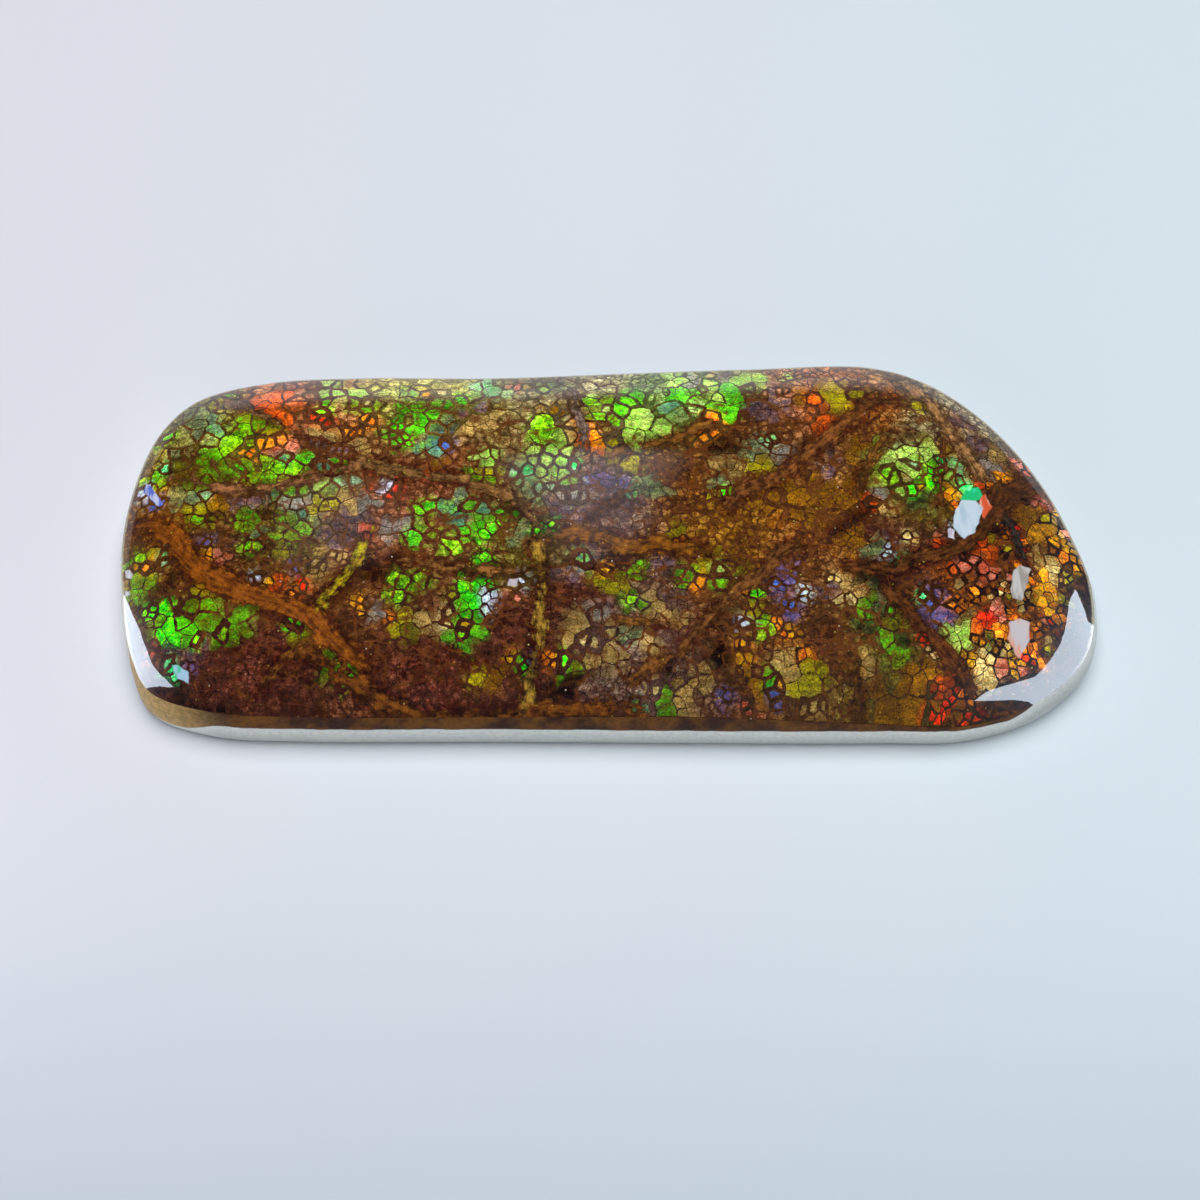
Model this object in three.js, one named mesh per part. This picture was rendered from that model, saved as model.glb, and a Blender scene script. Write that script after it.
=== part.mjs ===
import * as THREE from 'three';

// Ammolite specimen: one freeform-polished piece of iridescent fossil ammonite shell on its own
// matrix. Millimetres, +Z up, lying on its sawn flat back, origin at the middle of that back.

// Driving dimensions
const THICKNESS = 6.8;        // from the flat back to the top of the polished dome
const GIRDLE_HEIGHT = 1.3;    // height of the widest outline
const BACK_INSET = 0.4;       // the wall is eased in below the girdle by this much
const BACK_EASE_HEIGHT = 0.45; // height at which that easing is half done
const WALL_BULGE = 0.12;      // how far the wall stands outside a straight line, girdle to crease
const DOME_POWER = 4.5;       // the higher, the flatter the middle and the rounder the shoulder

// The polished dome falls away evenly from a short level spine that runs along the stone
const SPINE_LEFT = new THREE.Vector2(-20.0, -0.6);
const SPINE_RIGHT = new THREE.Vector2(14.0, -0.4);

// Widest outline, anticlockwise seen from above: [x, y, crease inset, crease height].
// The crease is the line where the polished dome meets the wall.
const OUTLINE = [
  [-30.2, -11.5, 0.75, 3.8], [-26.2, -13.0, 0.7, 3.8], [-19.8, -13.4, 0.6, 3.7],
  [-8.0, -13.4, 0.6, 3.7], [5.8, -13.5, 0.6, 3.9], [17.6, -13.5, 0.4, 3.2],
  [23.9, -13.3, 0.3, 2.9], [28.8, -11.6, 0.4, 3.3], [32.0, -8.5, 0.5, 3.8],
  [32.8, -4.0, 0.7, 3.9], [31.7, 0.6, 0.8, 3.9], [29.7, 4.8, 0.7, 3.9],
  [26.6, 8.8, 0.6, 4.0], [22.6, 12.0, 0.6, 4.1], [18.3, 13.5, 0.6, 4.1],
  [9.8, 13.4, 0.6, 4.1], [1.9, 13.1, 0.6, 4.1], [-8.1, 12.7, 0.6, 4.1],
  [-17.1, 12.7, 0.6, 4.1], [-23.4, 12.3, 0.6, 4.1], [-28.4, 10.7, 0.65, 4.1],
  [-30.7, 8.2, 0.75, 4.1], [-32.1, 4.5, 0.75, 4.1], [-32.8, 0.0, 0.75, 4.0],
  [-32.4, -5.0, 0.75, 3.9], [-31.5, -9.0, 0.75, 3.8],
];

// Mesh fineness
const STEPS_PER_POINT = 5;
const WALL_SHARES = [0.3, 0.6, 0.85];                                  // girdle to crease
const DOME_SHARES = [0.985, 0.96, 0.92, 0.87, 0.8, 0.71, 0.6, 0.45, 0.25]; // crease to spine

function nearestOnSpine(point) {
  const along = SPINE_RIGHT.clone().sub(SPINE_LEFT);
  const share = point.clone().sub(SPINE_LEFT).dot(along) / along.lengthSq();
  return SPINE_LEFT.clone().addScaledVector(along, THREE.MathUtils.clamp(share, 0, 1));
}

function closedCurve(points) {
  return new THREE.CatmullRomCurve3(points, true, 'centripetal');
}

// A meridian is one place on the outline, with the spine point that it falls towards
function meridians() {
  const girdleCurve = closedCurve(OUTLINE.map(([x, y]) => new THREE.Vector3(x, y, 0)));
  const creaseCurve = closedCurve(OUTLINE.map(([, , inset, height]) => new THREE.Vector3(0, inset, height)));
  const count = OUTLINE.length * STEPS_PER_POINT;
  return Array.from({ length: count }, (_, i) => {
    const onGirdle = girdleCurve.getPoint(i / count);
    const onCrease = creaseCurve.getPoint(i / count);
    const girdle = new THREE.Vector2(onGirdle.x, onGirdle.y);
    const spine = nearestOnSpine(girdle);
    const inward = spine.clone().sub(girdle).normalize();
    return { girdle, spine, inward, creaseInset: onCrease.y, creaseHeight: onCrease.z };
  });
}

function insetPoint(meridian, inset, height) {
  const { girdle, inward } = meridian;
  return new THREE.Vector3(girdle.x + inward.x * inset, girdle.y + inward.y * inset, height);
}

function wallPoint(meridian, share) {
  const bulge = WALL_BULGE * 4 * share * (1 - share);
  const height = THREE.MathUtils.lerp(GIRDLE_HEIGHT, meridian.creaseHeight, share);
  return insetPoint(meridian, meridian.creaseInset * share - bulge, height);
}

function domePoint(meridian, share) {
  const crease = insetPoint(meridian, meridian.creaseInset, meridian.creaseHeight);
  const x = THREE.MathUtils.lerp(meridian.spine.x, crease.x, share);
  const y = THREE.MathUtils.lerp(meridian.spine.y, crease.y, share);
  const fall = (THICKNESS - meridian.creaseHeight) * share ** DOME_POWER;
  return new THREE.Vector3(x, y, THICKNESS - fall);
}

// Rings of points from the flat back, up the wall and over the dome
function stoneRings() {
  const lines = meridians();
  return [
    lines.map((m) => insetPoint(m, BACK_INSET, 0)),
    lines.map((m) => insetPoint(m, BACK_INSET / 3, BACK_EASE_HEIGHT)),
    lines.map((m) => insetPoint(m, 0, GIRDLE_HEIGHT)),
    ...WALL_SHARES.map((share) => lines.map((m) => wallPoint(m, share))),
    lines.map((m) => domePoint(m, 1)),
    ...DOME_SHARES.map((share) => lines.map((m) => domePoint(m, share))),
  ];
}

function capTriangles(ring, firstIndex, facesUp) {
  const contour = ring.map((p) => new THREE.Vector2(p.x, p.y));
  const triangles = THREE.ShapeUtils.triangulateShape(contour, []);
  return triangles.flatMap(([a, b, c]) => {
    const turned = facesUp ? [a, b, c] : [a, c, b];
    return turned.map((corner) => corner + firstIndex);
  });
}

function stoneGeometry() {
  const rings = stoneRings();
  const around = rings[0].length;
  const index = capTriangles(rings[0], 0, false);
  for (let ring = 0; ring < rings.length - 1; ring += 1) {
    for (let i = 0; i < around; i += 1) {
      const next = (i + 1) % around;
      const [a, b] = [ring * around + i, ring * around + next];
      const [c, d] = [b + around, a + around];
      index.push(a, b, c, a, c, d);
    }
  }
  index.push(...capTriangles(rings.at(-1), (rings.length - 1) * around, true));
  const geometry = new THREE.BufferGeometry().setFromPoints(rings.flat());
  geometry.setIndex(index);
  // The wall's bulge and the curve's swing between points move the box a little: recentre it
  geometry.computeBoundingBox();
  const middle = geometry.boundingBox.getCenter(new THREE.Vector3());
  geometry.translate(-middle.x, -middle.y, 0);
  geometry.computeVertexNormals();
  return geometry;
}

const polishedShell = new THREE.MeshStandardMaterial({
  name: 'polished ammolite',
  color: 0x4c3a1a,
  roughness: 0.12,
  metalness: 0.25,
});

const stone = new THREE.Mesh(stoneGeometry(), polishedShell);
stone.name = 'ammolite_stone';

const specimen = new THREE.Group();
specimen.add(stone);

export default specimen;
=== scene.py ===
import math
from itertools import product

import bpy
import numpy as np
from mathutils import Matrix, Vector, noise
from mathutils.geometry import delaunay_2d_cdt


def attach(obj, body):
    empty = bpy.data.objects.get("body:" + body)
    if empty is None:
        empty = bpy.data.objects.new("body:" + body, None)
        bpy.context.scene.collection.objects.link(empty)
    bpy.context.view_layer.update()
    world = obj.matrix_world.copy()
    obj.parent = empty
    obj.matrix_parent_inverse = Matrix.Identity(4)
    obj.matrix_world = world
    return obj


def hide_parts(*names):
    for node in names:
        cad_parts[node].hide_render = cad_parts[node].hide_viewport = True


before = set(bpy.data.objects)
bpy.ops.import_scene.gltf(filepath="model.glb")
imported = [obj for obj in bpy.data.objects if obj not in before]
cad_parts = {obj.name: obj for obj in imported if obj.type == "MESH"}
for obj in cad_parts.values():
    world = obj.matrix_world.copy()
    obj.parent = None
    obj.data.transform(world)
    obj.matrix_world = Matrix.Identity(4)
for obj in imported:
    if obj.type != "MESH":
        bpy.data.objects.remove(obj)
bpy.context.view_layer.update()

# Ammolite specimen: a freeform-polished piece of fossil ammonite shell on its own matrix.
# The shell has crazed into some 2,900 small tiles, each of which breaks the light into its own
# colour, and rust-brown veins heal the wider breaks. Lengths below are in millimetres. Longer
# tables of places are written as text, with a comma after each row.
MM = 0.001
DICE_SEED = 71
NOISE_SEED = 7

# ---------------------------------------------------------------- the stone's driving sizes

THICKNESS = 6.8                # from the flat back to the top of the polished dome
GIRDLE_HEIGHT = 1.3            # height of the widest outline
BACK_INSET = 0.4               # the wall is eased in below the girdle by this much
BACK_EASE_HEIGHT = 0.45        # height at which a third of that inset is left
WALL_BULGE = 0.12              # how far the wall stands outside a straight line, girdle to crease
DOME_POWER = 4.5               # the higher, the flatter the middle and the rounder the shoulder
SPINE_LEFT = np.array([-20.0, -0.6])    # ends of the level spine that the dome falls away from
SPINE_RIGHT = np.array([14.0, -0.4])

# Widest outline, anticlockwise from above: x, y, crease inset, crease height
OUTLINE = """-30.2 -11.5 .55 3.8, -26.2 -13 .6 3.8, -19.8 -13.4 .6 3.7, -8 -13.4 .6 3.7, 5.8 -13.5 .6 3.9,
    17.6 -13.5 .4 3.2, 23.9 -13.3 .3 2.9, 28.8 -11.6 .4 3.3, 32 -8.5 .5 3.8, 32.8 -4 .7 3.9, 31.7 .6 .8 3.9,
    29.7 4.8 .7 3.9, 26.6 8.8 .6 4, 22.6 12 .6 4.1, 18.3 13.5 .6 4.1, 9.8 13.4 .6 4.1, 1.9 13.1 .6 4.1,
    -8.1 12.7 .6 4.1, -17.1 12.7 .6 4.1, -23.4 12.3 .6 4.1, -28.4 10.7 .5 4.1, -30.7 8.2 .4 4.1,
    -32.1 4.5 .35 4.1, -32.8 0 .35 4, -32.4 -5 .35 3.9, -31.5 -9 .4 3.8"""
STEPS_PER_POINT = 24
FIELD = np.array([66.0, 28.0])    # the stone's length and width, and a little more

# ---------------------------------------------------------------- colours of the shell

# Each tone of clean shell has the colour of its tiles, the colour that flecks them, and its
# patches: x, y, half length, half width (if it isn't round) and turn in degrees (if it has one)
PATCHES = {
    "spark": ("#30f018", "#80ec10", """-24.5 3.9 .35 .2 10, -19.4 8.4 .4 .2 -35, -12.5 .7 .4 .55,
        -14.2 7.1 .45 .2, -28.4 -7 .75 1.15, -29.9 -6.2 .2 .3, -26.7 -8.4 .2, -20 -7.3 .25 .2,
        -8.2 -1.1 .45 .35, -8 -2.7 .35 .45, -9.4 -4.9 .5, -8.7 -4.9 .4 .6, -8.6 -6 .5, -9.2 -6.7 .4 .35,
        -7.7 -4.9 .2 .3, -9.4 -8.2 .2 .25, 20.2 2.2 .35 .3, 21.6 3.7 .3 .2, 21.5 2.7 .4, -3.8 -.5 .2 .2 -25,
        7.7 1.9 .4 .2 -25, 9.4 -5.5 .3, -5.4 -10.1 .2, -2.9 -9.7 .2, -17 -10.5 .2 .25, -4.5 -.5 .2 .2 -20"""),
    "lime": ("#58c410", "#309018", """-20 4.8 1.2 .55 -5, -14.5 6.3 .2 .4, -13.6 5.9 .5 .2 -20, -12.4 7 .6,
        -10.9 8.7 1.7 .4 33, 5.2 9.9 .8, 8.4 8.9 .95 1.1, 1.4 9.2 .5 .85 -20, -27.6 -7.2 .45 .7,
        -12.8 -1.1 .75 .55, -9.5 -.9 .35, -8.3 -.5 .4 .35, -6 .3 .25, -8.5 -6.9 .4, -9.5 -6.2 .45 .5,
        10.6 -11 .4 .35, -7.2 .6 .2 .35 45, 20.7 2.9 .4, 18.3 -6.5 .2 .4 -15, 5.2 -4.2 .3 .4,
        -13.8 8.5 .5 .75, -9.4 -7.9 .85 .8"""),
    "leaf": ("#58a410", "#80bc14", """-25.7 10.1 .4 .35, -24.8 6.4 .8 .9, -29.6 7.2 .5 .4, -30.3 3.8 .55 .4,
        -22.1 3.6 .6, -20.9 3.8 .65 .5 -25, -21.1 2 .7 .35, -19 9.3 .35 .3, -17.8 4.2 .95 .3 -15,
        -12.7 8.8 .6 .5, -8.8 3.1 .5 .4, -7.8 3.1 .4 .5, -9.2 1.2 .35, -4 6.8 1.45 .95 5, -1.2 9.3 .45 .6,
        21.3 4.2 1.1 .4 15, 19 3 .45 .4, -25 -8.3 .5 .4, -23.5 -2 .35 .3, -11.5 -1.1 .4 .3,
        -10.3 -1.9 .45 .4, -13.3 -4.6 .5, -12.1 -4.5 .5 .45, -13.7 -5.6 .4 .45, -17.6 -10.2 .5 .65 -45,
        1.6 -5.7 .6 .3, 10 -7.4 .35, -31 -2.2 .5 .4"""),
    "olive_green": ("#6c7c10", "#4c9410", """-23.3 7.3 1.4 .6 -25, -23.9 5.6 .35 .4, -25.7 4.4 1.6 .95 -25,
        -27.3 3.8 1.3 .8 -30, -23.3 3.4 1.1 .6, -27.1 0 .6 .4, -16.6 8.9 1.2 .35 -15, -.1 9.3 .7 .5,
        .2 7.7 .7 .5, -25 -7.2 2 1.2, -27.1 -6 .8 .45, -29.4 -6.8 .4 .8, -30.8 -4.2 .9 .6,
        -2.1 -10.2 .8 .45 -25, 3.3 -12 .95 .6, 1.9 -3.6 .45 .4, 7.5 -4.6 .6 .4, 16.7 -6.1 .65 .5,
        17 -6.8 .6 .3, -23.6 .2 .8 .55, -20.9 .2 .65 .5, -.6 7.8 .4 .5, 18.5 -9.1 .75 .55 -40,
        -20.8 -1.2 1 .5"""),
    "yellow_olive": ("#988c10", "#645c0c", """-26.9 9.3 .55 .45, -28.9 4.4 .4 .35, -26.1 0 .25 .4,
        -19.2 1.3 .6 .4 -40, -18 1 .45 .4, -7.8 3.6 .5 .3, 1.7 4.7 1.2 .6 20, .4 5.5 .7 .35,
        16.1 9.5 .9 1.3 -15, 17 10 .6 .5, 21 8.9 .75 .4 -20, 22.8 5.6 .35 .4, 10.2 3.8 1 .45, 7 1.9 .4 .2,
        -27.4 .8 .9 .4, -26.6 -5.1 .8 .35 -20, -21.7 -2.5 .5 .35, -13.2 -7.7 .55 .75, -19.5 -8.1 .9 .75,
        .3 -4.3 1.2 .7, 6.4 -3.1 1 .7, 8.6 -3.7 .5 .4, 13 -10.9 1.05 .8, -8.5 -10.8 .5, 18.6 -7.3 .6 .55,
        4.5 -.9 .45 .35, 9.7 -6.6 .4 .25, -30.3 -2.8 .9 .7, -10.2 -5.5 .25 .45, 29.8 -4.9 .35 .4,
        30.4 -3.4 .2 .45"""),
    "pale_green": ("#a4bc54", "#78a838", """-19.1 2.6 .75 .5, -19.2 11.3 .6 .5, -17 9.8 1.3 .7,
        -18.9 10.2 .9 .4, -13.5 10.2 .8 .35, -8.2 4.8 .7 .35, -4.4 10.5 .35 .3, -4.3 5.1 1.5 .45,
        -2.5 5.1 .4 .35, -4 4.3 1.5 .35, -4 3.6 .8 .35, -2.6 2.9 .75 .4 20, 5 11.4 .7 .6, 7.2 10.3 .4 .6 20,
        9.7 11.2 .65 .7, 12.6 11.6 .25 .2, 21 5.4 .8 .75, 19.4 2 .5 .3, 22.3 -8.2 .45 .55, 23.1 -8.1 .4 .7,
        24.7 -8.6 .35 .3, 7.4 -3.6 .25, 22.7 3.3 .3 .35, 3.2 6.5 1.1 .7, 19 4.6 1.35 1.25, 2.9 8.2 1.3 1.1,
        1 6.4 1.3 .9"""),
    "mint": ("#8cac80", "#5c9c50", """-26.6 1.9 .35 .4, -6.4 3.5 .45 .3, -8.2 10.5 .6, -7.8 10.4 .8 .5,
        -4.2 2.4 .8 .3 10, 10.6 6 .5 .2, 23.1 4.1 .7, 20.4 4.1 .35 .2 15, -29.2 -2.2 .2 .9, -17.7 2.9 .8 .5,
        -26.9 7.6 .7 .6"""),
    "emerald": ("#1cdc60", "#70e090", """-29.7 4.2 .3 .5, -5.3 3.5 .5 .35, 23.9 2.3 .6 .5,
        -28.1 -10.3 .2 .45 30, 22.2 4.6 .25 .4, 19.4 -3 .2, -2.2 4.1 .4 .2, 20.4 -5.5 .25 .2"""),
    "teal": ("#548468", "#588c3c", """-22.1 1.7 .35, -21.7 4.6 .5 .3, -11.2 5.7 1.3 .5 10, -20.1 .4 .5 .3,
        1.3 1.7 .35 .2, -9.7 .9 1.4 .75, -8.2 .7 .5 .45 45, -1.5 -2.6 .45 .2, 2.3 -12.4 .4 .3,
        -19.2 3.9 .4 .2, 4.7 8.9 1 .6"""),
    "grey_green": ("#5c6846", "#707848", """-27.7 6.7 .55 .5, -28.9 5.2 .6 .35, -28.4 8.2 .9 .6 20,
        -28.1 1.9 1.1 .65, -10.8 6.9 1.1 .45, -4.7 1 .6 .5, 19.4 5.8 .5 .4, 7.6 2.8 .75 .45,
        -23.1 -1.2 .65 .4, -5.6 -1 .7 .5, 17.6 -2.2 .65 .6, 18 -6.3 .6 .45, 1.8 -8.1 .9 .5,
        -3.3 10.6 .75 .35, 10.1 5.1 1 .5, 3 2.5 1.2 .6"""),
    "grey": ("#807a70", "#665848", """-20.5 1.2 .6 .4, -15.9 1.3 .7 .5, -2.7 1.9 .9 .3, 6.1 11.3 .35 .7,
        -14.2 -.7 .6, -.7 -6.8 .7 .4, -15.1 -6.6 .5, 18.1 1.9 .5, 11.6 5.1 .7 .5, 25.7 4.2 .7"""),
    "mauve": ("#564248", "#6a4c3c", """-23.9 1.3 1.1 .45, -17.2 -.1 1.3 .5, -.6 3.8 1.2 .3, -2.6 .8 1.9 .9,
        1.2 1.2 1.1 .25, 11 8.9 1.2 .9, 8.3 11.2 .6 .7, 14.5 4.1 .7, 23.9 8 .7 .8, 25.3 6.2 .6 .4,
        -25.6 -1.7 .7 .4, -18 -1.2 1.7 .55, -1.8 -3.3 1.6 1.2, 3.2 -3.3 .8 .5, 4.3 -5.4 1.1 .3,
        14.1 -5.2 .6, -18.6 5.4 1.6 .2 -20, -27.4 -9.1 1.1 .6, -9.2 8.5 1.5 .45 25"""),
    "violet": ("#544c7c", "#6c4c60", """-.9 2.8 1 .5, .9 2.9 .8 .55, -26.5 -1.8 .25 .2, 21.4 -6.6 .95,
        11.6 -4 .4 .5, 11.9 -6.2 .55, 12.4 -3.3 .35 .2 40, 7.6 -11.8 .25, -5.1 -9.8 .2, 20.9 -5 .25 .2,
        -27 -10 .2, -20.6 -3.4 .5 .2 -50"""),
    "blue": ("#3c64b4", "#504c88", """10.8 -11.7 .3 .25, 11 -4.5 .2 .35, 12.1 -6.2 .2 .25, 11.4 -6 .2,
        20.8 -6 .2, -10.8 5.5 .35 .25 10, -30.2 1.9 .25 .3 -35"""),
    # pale spots of nacreous shell and painted glints, which stand for reflections of lights in the gloss
    "pearl": ("#c8d0e8", "#a8c8b8", """-31.3 2.9 .3 .4 -35, -5.6 -4.5 .2 .3, -7.8 -5.7 .3 .6, -14.6 2.5 .3,
        18.4 -2.1 .2 .5, -22.6 -4.2 .25 .2, 22.6 -1 .2 .3, 22.9 -1.1 .2, 12.7 -5.4 .2, 8.9 -7.5 .2"""),
    "sand": ("#ac8c4c", "#7c6030", """-18.6 6.6 2.1 .75 -28, -16.3 5.1 .5, -17.2 1.5 .7 .6,
        -8.8 7.3 1.1 .6 30, -7.7 6.2 .5, -2.3 6.8 .4 1.2 -8, 18.1 .8 .6 .4 -35, 26.1 5.8 .5 .35 -30,
        8.2 3.6 1 .6, -12.1 -7.4 .6 .85, 2.8 -6.4 .6 .65, -1 -8 1.9 1.1, 2.9 -9.2 .5 .6, 4.4 -7.3 .5 .45,
        -.2 -9.8 1.3 .6, 6.3 -10.4 .55 .35, 5.1 -11.1 .9 .3, 11.2 -10.2 .6 .8, 15.8 -4.8 .8 .6,
        16.9 -9.8 .9 .5 -35, 13.1 -12.4 .55 .25, 28.5 -2.4 .5, -17.8 -2.7 .5 .2 -10, -18.8 -3.6 .5 .2 10,
        8 -6.3 .5, 4.8 -12.2 .5 .35, 23.3 -6.8 .4 .45"""),
    "cream": ("#e4cc80", "#ac8c48", """-11.4 10.2 .35 .4, -16.2 9 .35 .2, -1.2 -8.6 .75 .25 -5,
        .4 -7.9 .5 .35, 3 -11.2 .4 .2, -6 -4.6 .3 .4, 7.1 12 .6 .3, 24.8 -9.4 .4 .35, 14.6 -4.4 .2 .25,
        19.7 -1.2 .2, 21.3 -9.3 .2 .25, 25.8 -9.1 .25, -10.5 -7.4 .2 .4, -5.5 10.8 .25, 19.8 3.1 .35 .4,
        24.8 -10.4 .85 .7, 15.9 -5.8 .7 .35, 29.5 -3 .5 .45"""),
    "gold": ("#e4a810", "#bc6c08", """-12.4 10.1 .5 .25, 26.1 2.7 .3 .25, -22.1 -4.4 .35 .25,
        -31.3 -2.7 .2 .3, -26.1 -2.5 .35 .3, -16 -6.1 .2 .5, -9.3 -7.5 .2 .3, 2.1 -1.6 .2, 5 -1.4 .2,
        8.9 -5.4 .2, 11.8 -8 .2 .25, 11.1 -11.2 .2, -6.3 -9.6 .2, -.1 -3.6 .25, 22.7 2.1 .3 .4,
        20.7 2.4 .3 .2, 29.1 -4.3 .65 .6, 29 -6 .35 .4, 29.2 -5.4 .3 .35, 29.9 -.9 .45 .35,
        23.5 -9.7 .25 .35, 26.4 -9.7 .25 .4, 25.4 -8.5 .2 .25, 24.1 -8.3 .25 .2, 8.8 -8.8 .2 .3,
        9.2 -9.6 .3 .4 -50, 28.4 -5.4 .4 .7, 27 3.6 .5 .35, 31.1 -1.9 .25 1"""),
    "amber": ("#84580e", "#5c3c0c", """-3.7 8.5 .7 .35, 14 9.9 1.1 1, 13.5 0 .6 .5, 16 1.2 1 1.3,
        11 1.6 .5 .4, 11.4 1.6 1.4 1.3, 14 1.9 .9 1.1, 16 -1.6 .9 .8, -11.5 4 .5 .4, 16.6 5.2 .5,
        28.1 .9 1.1 .9, 28.8 -.4 1.1 .9, 18.9 -11.9 2.6 1, 20.4 -10.5 .9 .6, 22.9 -12.1 .5 .35,
        9.6 -11.5 .6, -7.2 -10.6 .8 .5, -25.9 1.2 .8 .55"""),
    "orange": ("#fc981c", "#c85c10", """-23.9 4.7 .2 .25, -16.1 7.6 .6 .25 -35, -17.3 6.6 .65 .2 -28,
        -1.1 6.3 .45, -.9 5.5 .45, 7.1 7.8 .4 .5 -40, 6.8 6.3 .75 .3 30, 19.4 9.8 .2, -20.6 -5.3 .35 .2,
        6.1 -4.6 .5 .35 -50, 10.8 -7.4 .45 .2 -60, 11.3 -8 .2, 12.5 -9.4 .45 .35, -14.1 -7.1 .2,
        -4 -9.7 .35 .2 15, 22.5 -6.1 .2 .35, 30.3 -1.9 .5 .4, 26.4 -6.8 .2, 27.7 -7.5 .2, 27.4 -8.6 .2 .35,
        25.5 -7.9 .45 .35, 22.9 1.3 .2 .2 30, -30.5 -2.9 .2, 23.3 -11.3 .8 .2 -60, -23.1 5.7 1.15 .35"""),
    "red_orange": ("#cc5414", "#903808", """-22 9 .75 1.2, -15.5 2.6 .5 .3, 14.3 7.5 .65 .7, 13.9 9.2 .7 .5,
        17.7 .9 .2 .45, -21.5 -4.7 .35 .45, 24.9 2.7 .45 .35 -40, 25.2 1.6 .3 .35, 22.5 -3.5 .45 .25,
        23.9 -7.5 .5, 21.7 -11.3 .45 .3 50, 24.9 -2.3 .5 .8, 21.7 -1.6 .45 .3, -23.4 9 .5"""),
    "red": ("#fc3410", "#b42410", """24.8 -7.2 .4 .45, 22.4 -11.8 .4 .2 45, 21.9 -12.3 .45 .2 45,
        21.4 -12.8 .3 .25, 23.5 -12.6 .2 .3, 27.2 -9.1 .25 .2, 29 -6.7 .2, -14.1 2.3 .25 .2, 20.5 -8.3 .2,
        -19.7 -4.7 .25, -19.3 7.6 .8 .2 -28"""),
    "pink": ("#e08468", "#b44c34", """-22.3 5.2 1 .5, -6.1 10.8 .35 .3, 23.2 -3.2 .35 .5 -40,
        23.9 -2.8 .3 .5 -50, 24.5 -3.5 .4 .35, 25.5 -6.5 .35 .4, 25.7 -9.6 .4 .65, 28 4.8 .8 .3 -50,
        29.3 2.1 .5 .3 -50, 8.8 -12.2 .2, 9.2 -12.6 .2, -16.2 -.8 .35 .5, -29.7 -9 .2 .35, -6 -5.7 .2,
        22.1 -1.5 .5 .3, -25.5 -2.5 .35 .4"""),
    "dark_green": ("#262c1a", "#34401c", """16.8 -7.6 .85 .5, 20.9 1.3 .8 .7, 19.1 -8.4 .8 .45,
        17.3 -4.6 .8 .5"""),
    "dark": ("#1e120c", "#2c180e", """-28.8 -4.6 .5 .4, -3 -11 1 .9, 6.9 -9.6 .6, 3.8 -10.3 .5 .35,
        -15 -3.5 1 .6, 7.5 5.2 1.3 .6, 27.3 -12.3 1.5 .5 15, 31.4 -5.3 .8 2 -8, 30.6 -8 1 1.5 -25,
        28.9 -10.1 1.8 .9 38, 25.8 -11.4 1.8 .55 6, -31.6 -7.5 .5 2 5, -30 -11 1.2 .5 -40,
        28.6 -11.2 1.2 .6 25, 31.2 -7.8 .6 1.4 -15, -28.4 -11.3 1.4 .45 -25, -25.5 -12.3 1.8 .35 -8"""),
}

# Tones of the splinters that the slanted end has broken into
SPLINTERS = ("gold", "orange", "cream", "red", "yellow_olive", "pink", "cream", "orange", "sand",
             "yellow_olive")
TILE_GAIN = 1.27               # the clear coat dims what lies under it by about this much
MATRIX_GAIN = 0.84             # and matrix is duller than shell
VEIL = 0.008                   # the grey veil of dry shell, which the clear coat takes away
RUST_SHADE = "#40180a"         # rust between the grains

# Iron-stained matrix between the patches: each tone has its colour, the colour that flecks it,
# and roughly where it lies
MATRIX = {
    "plum": ("#4c241a", "#6a3a2c", "-27 -10, -22 -10, -12 -10, -6 -8, -2 -4, 19 -2"),
    "umber": ("#5a3416", "#78502a", "-24 -1, -16 -6, 10 7, 9 -8, 14 -9"),
    "rust": ("#6c3c14", "#8c5c28", "5 2, 13 0, 18 8"),
    "amber": ("#7c4c0c", "#a07020", "-30 1, 8 0"),
    "ember": ("#321808", "#804414", "24 -4, 24 -8, 28 1, 28 -4, 28 -10"),
    "clay": ("#844a28", "#a06848", "-16 0, -20 6, -22 11, -12 3, 14 10"),
    "taupe": ("#6c5048", "#847060", "0 1, 2 -9"),
    "olive": ("#645818", "#787030", "-20 0, -28 9, -5 -2, 18 -10, 21 2"),
    "moss": ("#78701c", "#949040", "-26 5"),
    "sage": ("#709038", "#90a860", "5 10"),
    "sand": ("#807048", "#a09468", "-2 10, 22 7"),
    "straw": ("#a49a38", "#c8bc60", "-12 11"),
}
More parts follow.
